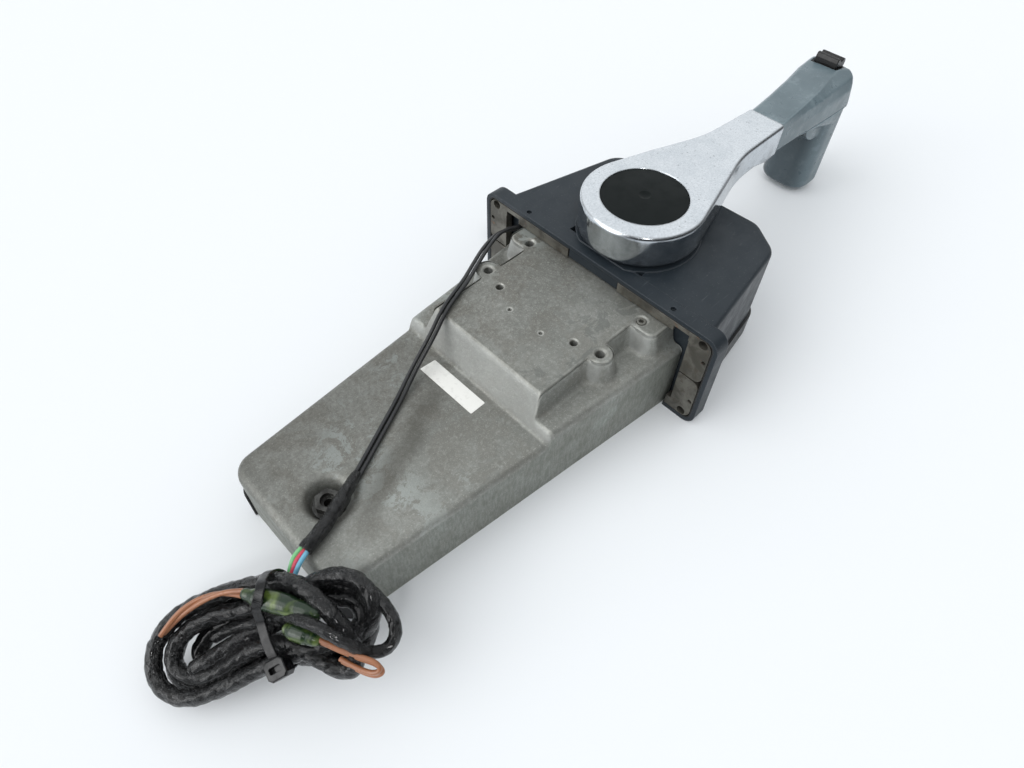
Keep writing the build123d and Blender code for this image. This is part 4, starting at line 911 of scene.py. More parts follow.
@dataclass(frozen=True)
class Keepout:
    """What a loom strand has to lie clear of, the floor and the case's end corner, and by how much."""

    floor: float = FLOOR_Z
    floor_gap: float = 0.15
    case_gap: float = 0.4
    case_end: float = -209.3
    case_top: float = 4.1
    case_half: float = 45.5

    def push(self, path: np.ndarray, radius: float) -> np.ndarray:
        """Move places out of the case and off the floor.

        The case's end is a box.  The signed distance to its outside is d = |max(q, 0)| + min(max(q), 0),
        where q is how far a place lies beyond each face.  A place with d < radius + gap moves out along
        the gradient of d.

        Args:
            path: Places in millimetres.
            radius: Strand radius in millimetres.

        Returns:
            The moved places.
        """
        moved = path.copy()
        beyond = np.stack(
            [self.case_end - moved[:, 0], np.abs(moved[:, 1]) - self.case_half, moved[:, 2] - self.case_top], axis=1
        )
        signs = np.stack([-np.ones(len(moved)), np.sign(moved[:, 1]), np.ones(len(moved))], axis=1)
        outside = np.maximum(beyond, 0)
        reach = np.linalg.norm(outside, axis=1)
        inside = beyond.max(axis=1)
        nearest = np.eye(3)[beyond.argmax(axis=1)]
        direction = np.where((reach > 1e-6)[:, None], outside / np.maximum(reach, 1e-6)[:, None], nearest)
        distance = np.where(reach > 1e-6, reach, inside)
        push = np.maximum(radius + self.case_gap - distance, 0)
        moved += direction * signs * push[:, None]
        moved[:, 2] = np.maximum(moved[:, 2], self.floor + radius + self.floor_gap)
        return moved


class Curves:
    """Centreline tools."""

    @staticmethod
    def smooth(points: np.ndarray, spacing: float) -> np.ndarray:
        """Even places along a centripetal Catmull-Rom curve through the points.

        Args:
            points: Places to pass through.
            spacing: Distance between the even places.

        Returns:
            The even places.
        """
        padded = np.vstack([2 * points[0] - points[1], points, 2 * points[-1] - points[-2]])
        runs = []
        for a, b, c, d in zip(padded, padded[1:], padded[2:], padded[3:]):
            t1 = np.linalg.norm(b - a) ** 0.5
            t2 = t1 + np.linalg.norm(c - b) ** 0.5
            t3 = t2 + np.linalg.norm(d - c) ** 0.5
            t = np.linspace(t1, t2, 24, endpoint=False)[:, None]
            p1 = (t1 - t) / t1 * a + t / t1 * b
            p2 = (t2 - t) / (t2 - t1) * b + (t - t1) / (t2 - t1) * c
            p3 = (t3 - t) / (t3 - t2) * c + (t - t2) / (t3 - t2) * d
            q1 = (t2 - t) / t2 * p1 + t / t2 * p2
            q2 = (t3 - t) / (t3 - t1) * p2 + (t - t1) / (t3 - t1) * p3
            runs.append((t2 - t) / (t2 - t1) * q1 + (t - t1) / (t2 - t1) * q2)
        line = np.vstack([*runs, points[-1:]])
        return Curves.even(line, spacing)

    @staticmethod
    def even(line: np.ndarray, spacing: float) -> np.ndarray:
        """Even places along a polyline.

        Args:
            line: Places along the polyline.
            spacing: Distance between the even places.

        Returns:
            The even places, by linear interpolation along the run.
        """
        steps = np.linalg.norm(np.diff(line, axis=0), axis=1)
        run = np.concatenate([[0], np.cumsum(steps)])
        count = max(int(round(run[-1] / spacing)), 2)
        wanted = np.linspace(0, run[-1], count + 1)
        return np.stack([np.interp(wanted, run, line[:, k]) for k in range(3)], axis=1)

    @staticmethod
    def relax(line: np.ndarray, rounds: int) -> np.ndarray:
        """Ease a polyline, with its ends kept: each place becomes half itself and a quarter of each neighbour.

        Args:
            line: Places along the polyline.
            rounds: How often to ease it.

        Returns:
            The eased places.
        """
        eased = line.copy()
        for _ in range(rounds):
            eased[1:-1] = 0.5 * eased[1:-1] + 0.25 * (eased[:-2] + eased[2:])
        return eased

    @staticmethod
    def length(line: np.ndarray) -> float:
        """Length of a polyline."""
        return float(np.linalg.norm(np.diff(line, axis=0), axis=1).sum())

    @staticmethod
    def frames(line: np.ndarray) -> tuple[np.ndarray, np.ndarray]:
        """Two cross axes at each place: the last axis less its part along the new tangent, so without twist.

        Args:
            line: Places along the centreline.

        Returns:
            First and second cross axis at each place.
        """
        tangents = np.gradient(line, axis=0)
        tangents /= np.linalg.norm(tangents, axis=1)[:, None]
        first = np.zeros_like(line)
        guess = np.array([0.0, 0.0, 1.0])
        if abs(tangents[0] @ guess) > 0.9:
            guess = np.array([0.0, 1.0, 0.0])
        for i, tangent in enumerate(tangents):
            guess = guess - tangent * (guess @ tangent)
            guess /= np.linalg.norm(guess)
            first[i] = guess
        return first, np.cross(tangents, first)


def link(name: str, data: bpy.types.ID) -> bpy.types.Object:
    """Make an object of some data at the origin.

    Args:
        name: Name of the object.
        data: Its mesh, curve, light or camera.

    Returns:
        The linked object.
    """
    made = bpy.data.objects.new(name, data)
    bpy.context.scene.collection.objects.link(made)
    return made


def mesh_object(name: str, points: np.ndarray, faces: Faces, material: bpy.types.Material,
                smooth: bool = True) -> bpy.types.Object:
    """Make a mesh object at the origin.

    Args:
        name: Name of the object.
        points: Vertices in metres.
        faces: Vertex numbers of each face.
        material: Its finish.
        smooth: Whether its faces are shaded smooth.

    Returns:
        The linked object.
    """
    mesh = bpy.data.meshes.new(name)
    mesh.from_pydata([tuple(p) for p in points], [], faces)
    mesh.update()
    mesh.materials.append(material)
    mesh.polygons.foreach_set("use_smooth", [smooth] * len(mesh.polygons))
    return link(name, mesh)


def stand_in(piece: bpy.types.Object, node: str, body: str = CASE_BODY) -> None:
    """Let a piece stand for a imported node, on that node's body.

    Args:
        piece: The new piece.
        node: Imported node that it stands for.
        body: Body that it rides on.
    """
    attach(piece, body)
    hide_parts(node)


def ring_faces(rings: int, around: int, closed: bool = False) -> Faces:
    """Quads between rings of vertices.

    Args:
        rings: How many rings there are.
        around: Vertices in a ring.
        closed: Whether the last ring joins the first.

    Returns:
        The quads, ring after ring.
    """
    return [
        (i * around + j, i * around + (j + 1) % around, (i + 1) % rings * around + (j + 1) % around,
         (i + 1) % rings * around + j)
        for i in range(rings if closed else rings - 1) for j in range(around)
    ]


def fan_faces(rings: int, around: int) -> Faces:
    """Fans that close a tube's two ends; its two end points follow its rings.

    Args:
        rings: How many rings there are.
        around: Vertices in a ring.

    Returns:
        The triangles, the first end before the last.
    """
    centre, last = rings * around, (rings - 1) * around
    start = [(centre, (j + 1) % around, j) for j in range(around)]
    return start + [(centre + 1, last + j, last + (j + 1) % around) for j in range(around)]


class CordMaker:
    """Lays the leads, the wires and the taped looms."""

    def __init__(self, finishes: Finishes) -> None:
        """Keep the finishes, the hank plane and the keep-out.

        Args:
            finishes: All the finishes.
        """
        self.finishes = finishes
        self.plane = HankPlane()
        self.keepout = Keepout()

    @staticmethod
    def nurbs(name: str, points: Sequence[Point], diameter: float, material: bpy.types.Material) -> bpy.types.Object:
        """A round cord along control points.

        Args:
            name: Name of the object.
            points: Control points in millimetres.
            diameter: Cord diameter in millimetres.
            material: Its finish.

        Returns:
            The curve object.
        """
        curve = bpy.data.curves.new(name, "CURVE")
        curve.dimensions = "3D"
        curve.bevel_depth = diameter / 2 * MILLI
        curve.bevel_resolution = 5
        curve.use_fill_caps = True
        spline = curve.splines.new("NURBS")
        spline.points.add(len(points) - 1)
        for target, place in zip(spline.points, points):
            target.co = (*(value * MILLI for value in place), 1.0)
        spline.order_u = 3
        spline.use_endpoint_u = True
        spline.resolution_u = 10
        curve.materials.append(material)
        return link(name, curve)

    @staticmethod
    def beside(points: Sequence[Point], shift: float) -> list[Point]:
        """The lead's route moved sideways, and one above the other where it leaves the housing.

        Args:
            points: The route's control points.
            shift: Distance to the side, in millimetres.

        Returns:
            The moved control points.
        """
        moved = []
        for i, point in enumerate(points):
            before = points[max(i - 1, 0)]
            after = points[min(i + 1, len(points) - 1)]
            dx, dy = after[0] - before[0], after[1] - before[1]
            size = math.hypot(dx, dy)
            blend = max(min((i - 1) / 3, 1.0), 0.0)
            moved.append((
                point[0] - dy / size * shift * blend,
                point[1] + dx / size * shift * blend,
                point[2] + shift * (1 - blend),
            ))
        return moved

    @staticmethod
    def nurbs_length(points: Sequence[Point]) -> float:
        """Length in metres of the quadratic curve that control points make.

        Args:
            points: Control points in millimetres.

        Returns:
            The length in metres.
        """
        table = np.array(points, float)
        corners = (table[:-1] + table[1:]) / 2
        corners[0], corners[-1] = table[0], table[-1]
        share = np.linspace(0, 1, 20)[:, None]
        runs = [
            (1 - share) ** 2 * a + 2 * share * (1 - share) * b + share**2 * c
            for a, b, c in zip(corners, table[1:-1], corners[1:])
        ]
        return Curves.length(np.vstack(runs)) * MILLI

    def lay_leads(self) -> None:
        """The two sheathed leads from the grommet over the case."""
        for name, side in (("lead_fore", -1), ("lead_aft", 1)):
            route = self.beside(LEAD_ROUTE, side * LEAD_SPACING / 2)
            lead = self.nurbs(f"{name}_sheath", route, LEAD_DIAMETER, self.finishes.table[Slot.LEAD])
            stand_in(lead, name)
            self.nurbs_length(route)

    def lay_cores(self) -> list[bpy.types.Object]:
        """The three coloured cores between the sleeve and the loom.

        Returns:
            The cores.
        """
        cores = []
        for name, colour, shift in CORES:
            points = [
                (-204.9, -19.6 + shift * 0.8, 7.0 + 0.2 * abs(shift)), (-209.8, -20.6 + shift * 1.1, 7.0),
                (-213.4, -22.4 + shift, 5.4), (-216.6, -24.0 + shift * 0.8, 2.6),
            ]
            core = self.nurbs(name, points, LEAD_DIAMETER, Finishes.flat(name, colour, 0.35))
            stand_in(core, "core_wires")
            cores.append(core)
        return cores

    def lay_brown_wires(self) -> None:
        """Two pairs of brown leads on the hank."""
        for node, route, start, lay in (
            ("brown_wires_left", BROWN_LEFT, 0.0, 1.6), ("brown_wires_right", BROWN_RIGHT, 0.95, 0.0),
        ):
            for i, shift in enumerate((-WIRE_SHIFT, WIRE_SHIFT)):
                turns = [start + lay * math.pi * k / (len(route) - 1) for k in range(len(route))]
                places = self.plane.places([
                    (u, v + shift * math.cos(turn), n + shift * math.sin(turn))
                    for (u, v, n), turn in zip(route, turns)
                ])
                places = [tuple(p) for p in places.tolist()]
                wire = self.nurbs(f"{node}_{i}", places, LEAD_DIAMETER, self.finishes.table[Slot.BROWN])
                stand_in(wire, node)
                self.nurbs_length(places)

    def loom_line(self, route: Sequence[Point], diameter: float, seed: int) -> np.ndarray:
        """Centreline of a loom strand: smooth, a little uneven, and clear of the case and the floor.

        Args:
            route: Places on the hank plane.
            diameter: Strand diameter in millimetres.
            seed: Seed of the unevenness.

        Returns:
            Even places in millimetres.
        """
        line = Curves.smooth(self.plane.places(route), LOOM_STEP)
        rng = np.random.default_rng(seed)
        run = np.arange(len(line)) * LOOM_STEP
        for vector in (self.plane.across, self.plane.off):
            waves = sum(
                rng.uniform(0.15, 0.4) * np.sin(run / rng.uniform(7, 16) + rng.uniform(0, 6)) for _ in range(3)
            )
            line = line + waves[:, None] * vector * 0.6
        for _ in range(6):
            line = Curves.relax(self.keepout.push(line, diameter / 2), 3)
        line = self.keepout.push(line, diameter / 2)
        return Curves.even(Curves.relax(line, 4), STRAND_STEP)

    @staticmethod
    def angles() -> np.ndarray:
        """Angle of every vertex in a ring."""
        return np.linspace(0, 2 * math.pi, TUBE_SIDES, endpoint=False)

    def tube(self, name: str, line: np.ndarray, radius: np.ndarray, axes: tuple[np.ndarray, np.ndarray],
             slot: Slot) -> bpy.types.Object:
        """A tube with closed ends: place + radius (cos a first + sin a second) at each place and angle a.

        Args:
            name: Name of the object.
            line: Centreline in millimetres, a place for each ring.
            radius: Radius by ring and angle, in millimetres.
            axes: Two cross axes at each place.
            slot: Slot of its finish.

        Returns:
            The mesh object.
        """
        angle, (first, second) = self.angles()[:, None], axes
        rings = line[:, None] + radius[..., None] * (np.cos(angle) * first[:, None] + np.sin(angle) * second[:, None])
        points = np.vstack([rings.reshape(-1, 3), line[:1], line[-1:]]) * MILLI
        faces = ring_faces(len(line), TUBE_SIDES) + fan_faces(len(line), TUBE_SIDES)
        return mesh_object(name, points, faces, self.finishes.table[slot])

    def wrapped_tube(self, name: str, line: np.ndarray, diameter: float, seed: int,
                     profile: Sequence[tuple[float, float]] = ()) -> bpy.types.Object:
        """A taped strand.

        The radius at run s and angle a is R (1 + ridge + crease + press + pleats).  The ridge is a saw tooth
        of the wrap, frac(s / pitch - a / 2 pi), from -4% to 4.5% of R, that drops where one turn of tape laps
        the next.  The crease is a sum of slanted sine waves whose phase drifts along the run, and the press
        flattens the strand a little.  The pleats go by |sin(k a + s / q)|^0.6, with sharp valleys that slant
        one way or the other where a slow wave says.

        Args:
            name: Name of the object.
            line: Centreline in millimetres.
            diameter: Mean diameter in millimetres.
            seed: Seed of the creases.
            profile: Radius by share of the run, where it isn't even.

        Returns:
            The mesh object.
        """
        around, count = TUBE_SIDES, len(line)
        rng = np.random.default_rng(seed)
        run = np.arange(count)[:, None] * np.linalg.norm(line[1] - line[0])
        angle = self.angles()[None, :]
        pitch = diameter * 1.25
        lap = np.mod(run / pitch - angle / (2 * math.pi), 1.0)
        ridge = 0.085 * np.where(lap < 0.12, lap / 0.12, 1 - (lap - 0.12) / 0.88) - 0.04
        crease = np.zeros((count, around))
        for folds in (2, 3, 5, 7):
            drift = np.cumsum(rng.normal(0, 0.09, count))[:, None]
            crease += rng.uniform(0.014, 0.034) * np.sin(folds * angle + run / rng.uniform(1.8, 4.6) + drift)
        press = 0.03 * np.sin(run / 17 + rng.uniform(0, 6)) * np.cos(2 * angle)
        sway = np.cumsum(rng.normal(0, 0.12, count))[:, None]
        chosen = 0.5 + 0.5 * np.tanh(4 * np.sin(run / 9 + angle + sway))
        pleats = chosen * np.abs(np.sin(1.5 * angle + run / 1.9 + sway)) ** 0.6
        pleats += (1 - chosen) * np.abs(np.sin(-2 * angle + run / 2.3 - sway)) ** 0.6
        radius = diameter / 2 * (1 + ridge + crease + press + 0.10 * (pleats - 0.7))
        if profile:
            share = np.linspace(0, 1, count)
            radius = radius * np.interp(share, *zip(*profile))[:, None] / (diameter / 2)
        else:
            ends = np.minimum(np.arange(count), np.arange(count)[::-1])[:, None] * STRAND_STEP
            radius = radius * np.clip(0.55 + ends / 3.0, 0, 1) ** 0.5
        made = self.tube(name, line, radius, Curves.frames(line), Slot.TAPE)
        self.write_wrap(made.data, count, around, pitch, float(run[1, 0]))
        return made

    @staticmethod
    def write_wrap(mesh: bpy.types.Mesh, count: int, around: int, pitch: float, step: float) -> None:
        """Wrap coordinates: turns round the strand, and tape widths along it.

        Args:
            mesh: The strand's mesh.
            count: Rings in the mesh.
            around: Vertices in a ring.
            pitch: Distance between two turns of tape, in millimetres.
            step: Distance between two rings, in millimetres.
        """
        layer = mesh.uv_layers.new(name="wrap")
        loops = np.zeros(len(mesh.loops), dtype=np.int32)
        mesh.loops.foreach_get("vertex_index", loops)
        ring, slot = np.divmod(loops, around)
        ring = np.minimum(ring, count - 1)
        quads = (count - 1) * around * 4
        turn = slot / around
        corner = np.arange(len(loops)) % 4
        closing = (slot == 0) & ((corner == 1) | (corner == 2)) & (np.arange(len(loops)) < quads)
        turn = np.where(closing, 1.0, turn)
        table = np.stack([turn, ring * step / pitch], axis=1)
        layer.data.foreach_set("uv", table.astype(np.float32).ravel())

    def lay_sleeve(self) -> None:
        """The wrinkled sleeve that gathers both leads, and the tape where the cores part."""
        line = Curves.smooth(np.array(SLEEVE_ROUTE), STRAND_STEP)
        sleeve = self.wrapped_tube("lead_sleeve_wrap", line, SLEEVE_DIAMETER, 5, SLEEVE_RADII)
        stand_in(sleeve, "lead_sleeves")

    def tie_strap(self) -> None:
        """The strap round the hank, and its head: at each place, place + a wide + b out for section corners (a, b)."""
        line = Curves.smooth(self.plane.places([*STRAP_ROUTE, STRAP_ROUTE[0]]), 0.8)
        line = line[:-1]
        tangents = np.roll(line, -1, axis=0) - np.roll(line, 1, axis=0)
        tangents /= np.linalg.norm(tangents, axis=1)[:, None]
        wide = self.plane.along - (tangents @ self.plane.along)[:, None] * tangents
        wide /= np.linalg.norm(wide, axis=1)[:, None]
        out = np.cross(tangents, wide)
        half, thick, cut = STRAP_WIDTH / 2, STRAP_THICK / 2, 0.3
        section = [
            (-half, -thick + cut), (-half, thick - cut), (-half + cut, thick), (half - cut, thick),
            (half, thick - cut), (half, -thick + cut), (half - cut, -thick), (-half + cut, -thick),
        ]
        rings = np.stack([line + a * wide + b * out for a, b in section], axis=1)
        faces = ring_faces(len(line), len(section), closed=True)
        strap = mesh_object(
            "hank_strap", rings.reshape(-1, 3) * MILLI, faces, self.finishes.own["hank_tie"], smooth=False
        )
        for piece in (strap, self.tie_head()):
            stand_in(piece, "hank_tie")

    def tie_head(self) -> bpy.types.Object:
        """Square head with cut corners, a rounded top rim and the slot: one outline turned, and scaled by level.

        Returns:
            The head.
        """
        plan, slot = self.cut_square(4.9, 2.9, 3.3, 4.4), self.cut_square(2.7, 1.0, 2.2, 1.3)
        levels = [
            (plan, 1.0, -3.0), (plan, 1.0, 2.1), (plan, 0.93, 2.8), (plan, 0.86, 3.0), (slot, 1.0, 3.0),
            (slot, 0.96, 0.8),
        ]
        u0, v0, n0 = STRAP_HEAD
        turn = math.radians(18)
        places = [
            (u0 + (x * math.cos(turn) - y * math.sin(turn)) * grow,
             v0 + (x * math.sin(turn) + y * math.cos(turn)) * grow, n0 + height)
            for outline, grow, height in levels for x, y in outline
        ]
        sides, count = len(plan), len(places)
        faces = ring_faces(len(levels), sides)
        faces += [tuple(range(sides))[::-1], tuple(range(count - sides, count))]
        return mesh_object(
            "hank_tie_head", self.plane.places(places) * MILLI, faces, self.finishes.own["hank_tie"], smooth=False
        )

    @staticmethod
    def cut_square(wide: float, low: float, narrow: float, high: float) -> list[tuple[float, float]]:
        """Eight corners of a rectangle whose corners are cut, anticlockwise.

        Args:
            wide: Half width at the low corners.
            low: Half height where the corners are cut.
            narrow: Half width where the corners are cut.
            high: Half height at the high corners.

        Returns:
            The corners.
        """
        return [
            (-wide, -low), (-narrow, -high), (narrow, -high), (wide, -low), (wide, low), (narrow, high),
            (-narrow, high), (-wide, low),
        ]

    def bullet_sleeves(self) -> None:
        """Two clear sleeves drawn down over their bullet connectors.

        Each is a surface of revolution about its run, radius R p(t), where p steps down over the connector's
        two barrels and its ends, with a slow wave sin(9 t + a) of 2% where the sleeve is not quite round.
        """
        share = np.linspace(0, 1, 60)
        wave = 1 + 0.02 * np.sin(9 * share[:, None] + self.angles()[None, :])
        for i, (start, end, radius) in enumerate(BULLETS):
            ends = self.plane.places([start, end])
            axis = ends[1] - ends[0]
            size = np.linalg.norm(axis)
            axis /= size
            side = np.cross(axis, self.plane.off)
            side /= np.linalg.norm(side)
            line = ends[0] + share[:, None] * size * axis
            reach = radius * np.interp(share, *zip(*BULLET_SHAPE))
            axes = tuple(np.broadcast_to(vector, line.shape) for vector in (side, np.cross(side, axis)))
            sleeve = self.tube(f"bullet_sleeve_{i}", line, reach[:, None] * wave, axes, Slot.BULLET)
            stand_in(sleeve, "bullet_sleeves")

    def lay_looms(self, cores: list[bpy.types.Object]) -> None:
        """The taped loom in its tied turns, and the thinner branch.

        Args:
            cores: Core wires; not used.
        """
        jobs = (
            ("loom_main", LOOM_ROUTE, LOOM_DIAMETER, LOOM_LENGTH, 3, cores),
            ("loom_branch", BRANCH_ROUTE, BRANCH_DIAMETER, BRANCH_LENGTH, 8, []),
        )
        for name, route, diameter, length, seed, pieces in jobs:
            line = self.loom_line(route, diameter, seed)
            LOG.info("%s measures %.3f m", name, Curves.length(line) * MILLI)
            loom = self.wrapped_tube(name, line, diameter, seed)
            stand_in(loom, "harness_hank")


@dataclass(frozen=True)
class CaseSizes:
    """Sizes of the case's outer skin, in millimetres."""

    length: float = 207.5
    root_x: float = 6.0
    end_half: float = 43.3
    root_half: float = 63.2
    corner: float = 10.0
    plateau: float = 3.95
    ledge: float = 10.65
    pad: float = 24.15
    step_x: float = -88.3
    ramp_slope: float = 20.2 / 8.5
    pad_half: float = 39.6
    lobe_x: float = -38.9
    lobe_y: float = 41.8
    lobe_radius: float = 7.0
    tab_start: float = -12.5
    tab_half: float = 54.0
    tab_inner: float = 30.0
    tab_corner: float = 5.2
    shoulder: float = 4.4
    skirt_z: float = -2.0
    top_round: float = 1.9
    base_round: float = 3.4
    draft: float = 1.8
    plan_blend: float = 4.2
    ramp_blend: float = 3.4
    plateau_blend: float = 2.4


class CaseSkin:
    """The casting's outer skin with its cast fillets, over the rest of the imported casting."""

    TAPPED = ((-6.3, 41.8), (-38.9, 41.8), (-38.9, -41.8), (-6.3, -41.8))
    SMALL = ((-43.5, 27.6), (-43.5, -27.6))
    DISH = (-183.2, -3.1)
    # Start, end and step of the grid lines along x, and of those across as shares of the half width.
    BANDS = (
        (-202.5, -164, 0.7), (-164, -91, 1.6), (-91, -76, 0.5), (-76, -54, 1.4), (-54, -30, 0.5), (-30, -17, 1.4),
        (-17, 6, 0.5),
    )
    SHARE_BANDS = ((0, 0.56, 0.0115), (0.56, 0.925, 0.0085))
    # Radius and depth below the face, from the rim inwards.
    TAPPED_SHAPE = ((3.75, 0), (3.55, 0.08), (2.6, 0.95), (2.5, 1.2), (2.5, 2.4))
    SMALL_SHAPE = ((2.75, 0), (2.6, 0.06), (2.1, 0.6), (2.1, 1.6))
    PIN_SHAPE = ((1.3, 0), (1.12, 0.15), (1.1, 2.4), (0.05, 2.4))
    DISH_SHAPE = (
        (16.2, 0.01), (15.4, 0.05), (14.6, 0.13), (13.9, 0.25), (13.2, 0.43), (12.6, 0.66), (12.0, 0.98),
        (11.5, 1.35), (11.0, 1.84), (10.6, 2.35), (10.2, 3.0), (9.85, 3.75), (9.5, 4.7), (9.2, 5.6), (8.9, 6.6),
        (8.62, 7.9), (3.2, 7.95),
    )

    def __init__(self, frame: dict, material: bpy.types.Material) -> None:
        """Keep the frame, the finish, the sizes and the openings.

        Args:
            material: Finish of the casting.
        """
        self.frame = frame
        self.material = material
        self.size = c = CaseSizes()
        self.edges: dict[tuple[float, float], np.ndarray] = {}
        # Places, radius in the grid, height of the face and shape of each kind of opening.
        self.openings = (
            (self.TAPPED, 4.6, c.pad, self.TAPPED_SHAPE), (self.SMALL, 3.6, c.pad, self.SMALL_SHAPE),
            (PIN_MARKS, 2.2, c.pad, self.PIN_SHAPE), ((self.DISH,), 17.0, c.plateau, self.DISH_SHAPE),
        )

    @staticmethod
    def soft_low(a: np.ndarray, b: np.ndarray, k: float) -> np.ndarray:
        """Lower of two heights, blended over k."""
        h = np.maximum(k - np.abs(a - b), 0) / k
        return np.minimum(a, b) - h * h * k / 4

    @staticmethod
    def soft_high(a: np.ndarray, b: np.ndarray, k: float) -> np.ndarray:
        """Higher of two heights, blended over k."""
        return -CaseSkin.soft_low(-a, -b, k)

    @staticmethod
    def arc(radius: float, run: np.ndarray) -> np.ndarray:
        """Height of a circle's arc over its centre, at a run from it."""
        return np.sqrt(np.maximum(radius * radius - run**2, 0))

    def slope(self) -> float:
        """How fast the case widens along x."""
        return (self.size.root_half - self.size.end_half) / (self.size.length + SLOPE_ROOT)

    def flank(self, x: np.ndarray) -> np.ndarray:
        """Half width of the case at x, before its end corners are rounded."""
        return self.size.end_half + self.slope() * (x + self.size.length)

    def half(self, x: np.ndarray) -> np.ndarray:
        """Half width of the case at x, with the rounded end corners.

        Args:
            x: Places along the case.

        Returns:
            The half widths: the flank less R - sqrt(R^2 - run^2) at the corners.
        """
        c = self.size
        run = np.clip(c.corner - (x + c.length), 0, c.corner)
        return self.flank(x) - (c.corner - self.arc(c.corner, run))

    def plan_depth(self, x: np.ndarray, y: np.ndarray) -> np.ndarray:
        """Signed depth inside the raised pad's plan, lobes and tabs blended in.

        Args:
            x: Places along the case.
            y: Places across it.

        Returns:
            The depths, positive inside.
        """
        c = self.size
        side = np.abs(y)
        body = c.pad_half - side
        lobe = c.lobe_radius - np.hypot(x - c.lobe_x, side - c.lobe_y)
        inner = c.tab_inner
        centre, reach = (c.tab_start + inner, inner), (inner, c.tab_half - inner)
        qx = np.abs(x - centre[0]) - (reach[0] - c.tab_corner)
        qy = np.abs(side - centre[1]) - (reach[1] - c.tab_corner)
        tab = c.tab_corner - np.hypot(np.maximum(qx, 0), np.maximum(qy, 0)) - np.minimum(np.maximum(qx, qy), 0)
        return self.soft_high(self.soft_high(body, lobe, c.plan_blend), tab, c.plan_blend)

    def top(self, x: np.ndarray, y: np.ndarray) -> np.ndarray:
        """Height of the top before the outer shoulder.

        With d the depth inside the pad's plan, the wall's profile is the pad's height for d > r, the arc
        pad - r + sqrt(r^2 - (r - d)^2) down to d = 0, a drafted line to d = -draft, and the arc
        ledge + R - sqrt(R^2 - (d + draft + R)^2) that runs out on the ledge.  The front ramp and the plateau
        are blended in with soft lower and higher values.

        Args:
            x: Places along the case.
            y: Places across it.

        Returns:
            The heights.
        """
        c = self.size
        d = self.plan_depth(x, y)
        r, big = c.top_round, c.base_round
        arc_top = c.pad - r + self.arc(r, np.clip(r - d, 0, r))
        share = np.clip((d + c.draft) / c.draft, 0, 1)
        wall = (c.ledge + big) + share * (c.pad - r - c.ledge - big)
        run = np.clip(d + c.draft + big, 0, big)
        arc_low = c.ledge + big - self.arc(big, run)
        profile = np.where(d > 0, arc_top, np.where(d > -c.draft, wall, arc_low))
        ramp = c.plateau + c.ramp_slope * (x - c.step_x)
        raised = self.soft_low(profile, ramp, c.ramp_blend)
        return self.soft_high(raised, np.full_like(x, c.plateau), c.plateau_blend)

    def rim_depth(self, x: np.ndarray, y: np.ndarray) -> np.ndarray:
        """Distance inside the case's outline.

        Args:
            x: Places along the case.
            y: Places across it.

        Returns:
            The distances to the flank or the end, or to the rounded corner where both are near.
        """
        c = self.size
        side = (self.flank(x) - np.abs(y)) * math.cos(math.atan(self.slope()))
        end = x + c.length
        corner = c.corner - np.hypot(np.maximum(c.corner - side, 0), np.maximum(c.corner - end, 0))
        return np.where((side < c.corner) & (end < c.corner), corner, np.minimum(side, end))

    def height(self, x: np.ndarray, y: np.ndarray) -> np.ndarray:
        """Height of the finished skin.

        Args:
            x: Places along the case.
            y: Places across it.

        Returns:
            The heights: the top less r - sqrt(r^2 - (r - d)^2) within r of the outline.
        """
        r = self.size.shoulder
        d = np.clip(self.rim_depth(x, y), 0, r)
        return self.top(x, y) - (r - self.arc(r, r - d))

    def stations(self) -> tuple[np.ndarray, np.ndarray]:
        """Grid lines along x, and as shares of the half width, closer where the form bends.

        Returns:
            Places along x, and shares from -1 to 1.
        """
        c = self.size
        bend = c.shoulder * (1 - np.cos(np.linspace(0, math.pi / 2, 10)))
        x = np.concatenate([-c.length + bend, *(np.arange(*band) for band in self.BANDS), [c.root_x]])
        x = np.unique(np.round(x, 4))
        keep = np.concatenate([[True], np.diff(x) > 0.02])
        edge = 1 - bend / 55.0
        positive = np.concatenate([*(np.arange(*band) for band in self.SHARE_BANDS), edge])
        positive = np.unique(np.round(positive, 5))
        return x[keep], np.concatenate([-positive[:0:-1], positive])

    def sheet(self) -> tuple[np.ndarray, Faces]:
        """Skin and skirt on a grid of x and share s: (x, s half(x), height), open where an opening lies.

        Returns:
            Vertices in millimetres, and faces.
        """
        stations, shares = self.stations()
        x = np.repeat(stations[:, None], len(shares), axis=1)
        y = self.half(stations)[:, None] * shares[None, :]
        z = self.height(x, y)
        low = np.full(len(stations), self.size.skirt_z)
        left = np.stack([stations, y[:, 0], low], axis=-1)[:, None]
        right = np.stack([stations, y[:, -1], low], axis=-1)[:, None]
        table = np.concatenate([left, np.stack([x, y, z], axis=-1), right], axis=1)
        wide = table.shape[1]
        middle_x = (x[:-1, :-1] + x[1:, 1:]) / 2
        middle_y = (y[:-1, :-1] + y[1:, 1:]) / 2
        open_cell = np.zeros(middle_x.shape, bool)
        for hx, hy, radius in [(*spot, radius) for spots, radius, _, _ in self.openings for spot in spots]:
            near = np.hypot(middle_x - hx, middle_y - hy) < radius
            open_cell |= near
            touched = np.zeros(x.shape, int)
            for di in (0, 1):
                for dj in (0, 1):
                    touched[di:di + near.shape[0], dj:dj + near.shape[1]] += near
            rim = (touched > 0) & (touched < 4)
            reach = np.maximum(np.hypot(x - hx, y - hy), 1e-6)
            for k, centre in ((0, hx), (1, hy)):
                plane = table[:, 1:-1, k]
                plane[rim] = (centre + (plane - centre) * radius / reach)[rim]
            edge = table[:, 1:-1][rim]
            order = np.argsort(np.arctan2(edge[:, 1] - hy, edge[:, 0] - hx))
            self.edges[(hx, hy)] = edge[order]
        faces = []
        for i in range(len(stations) - 1):
            for j in range(wide - 1):
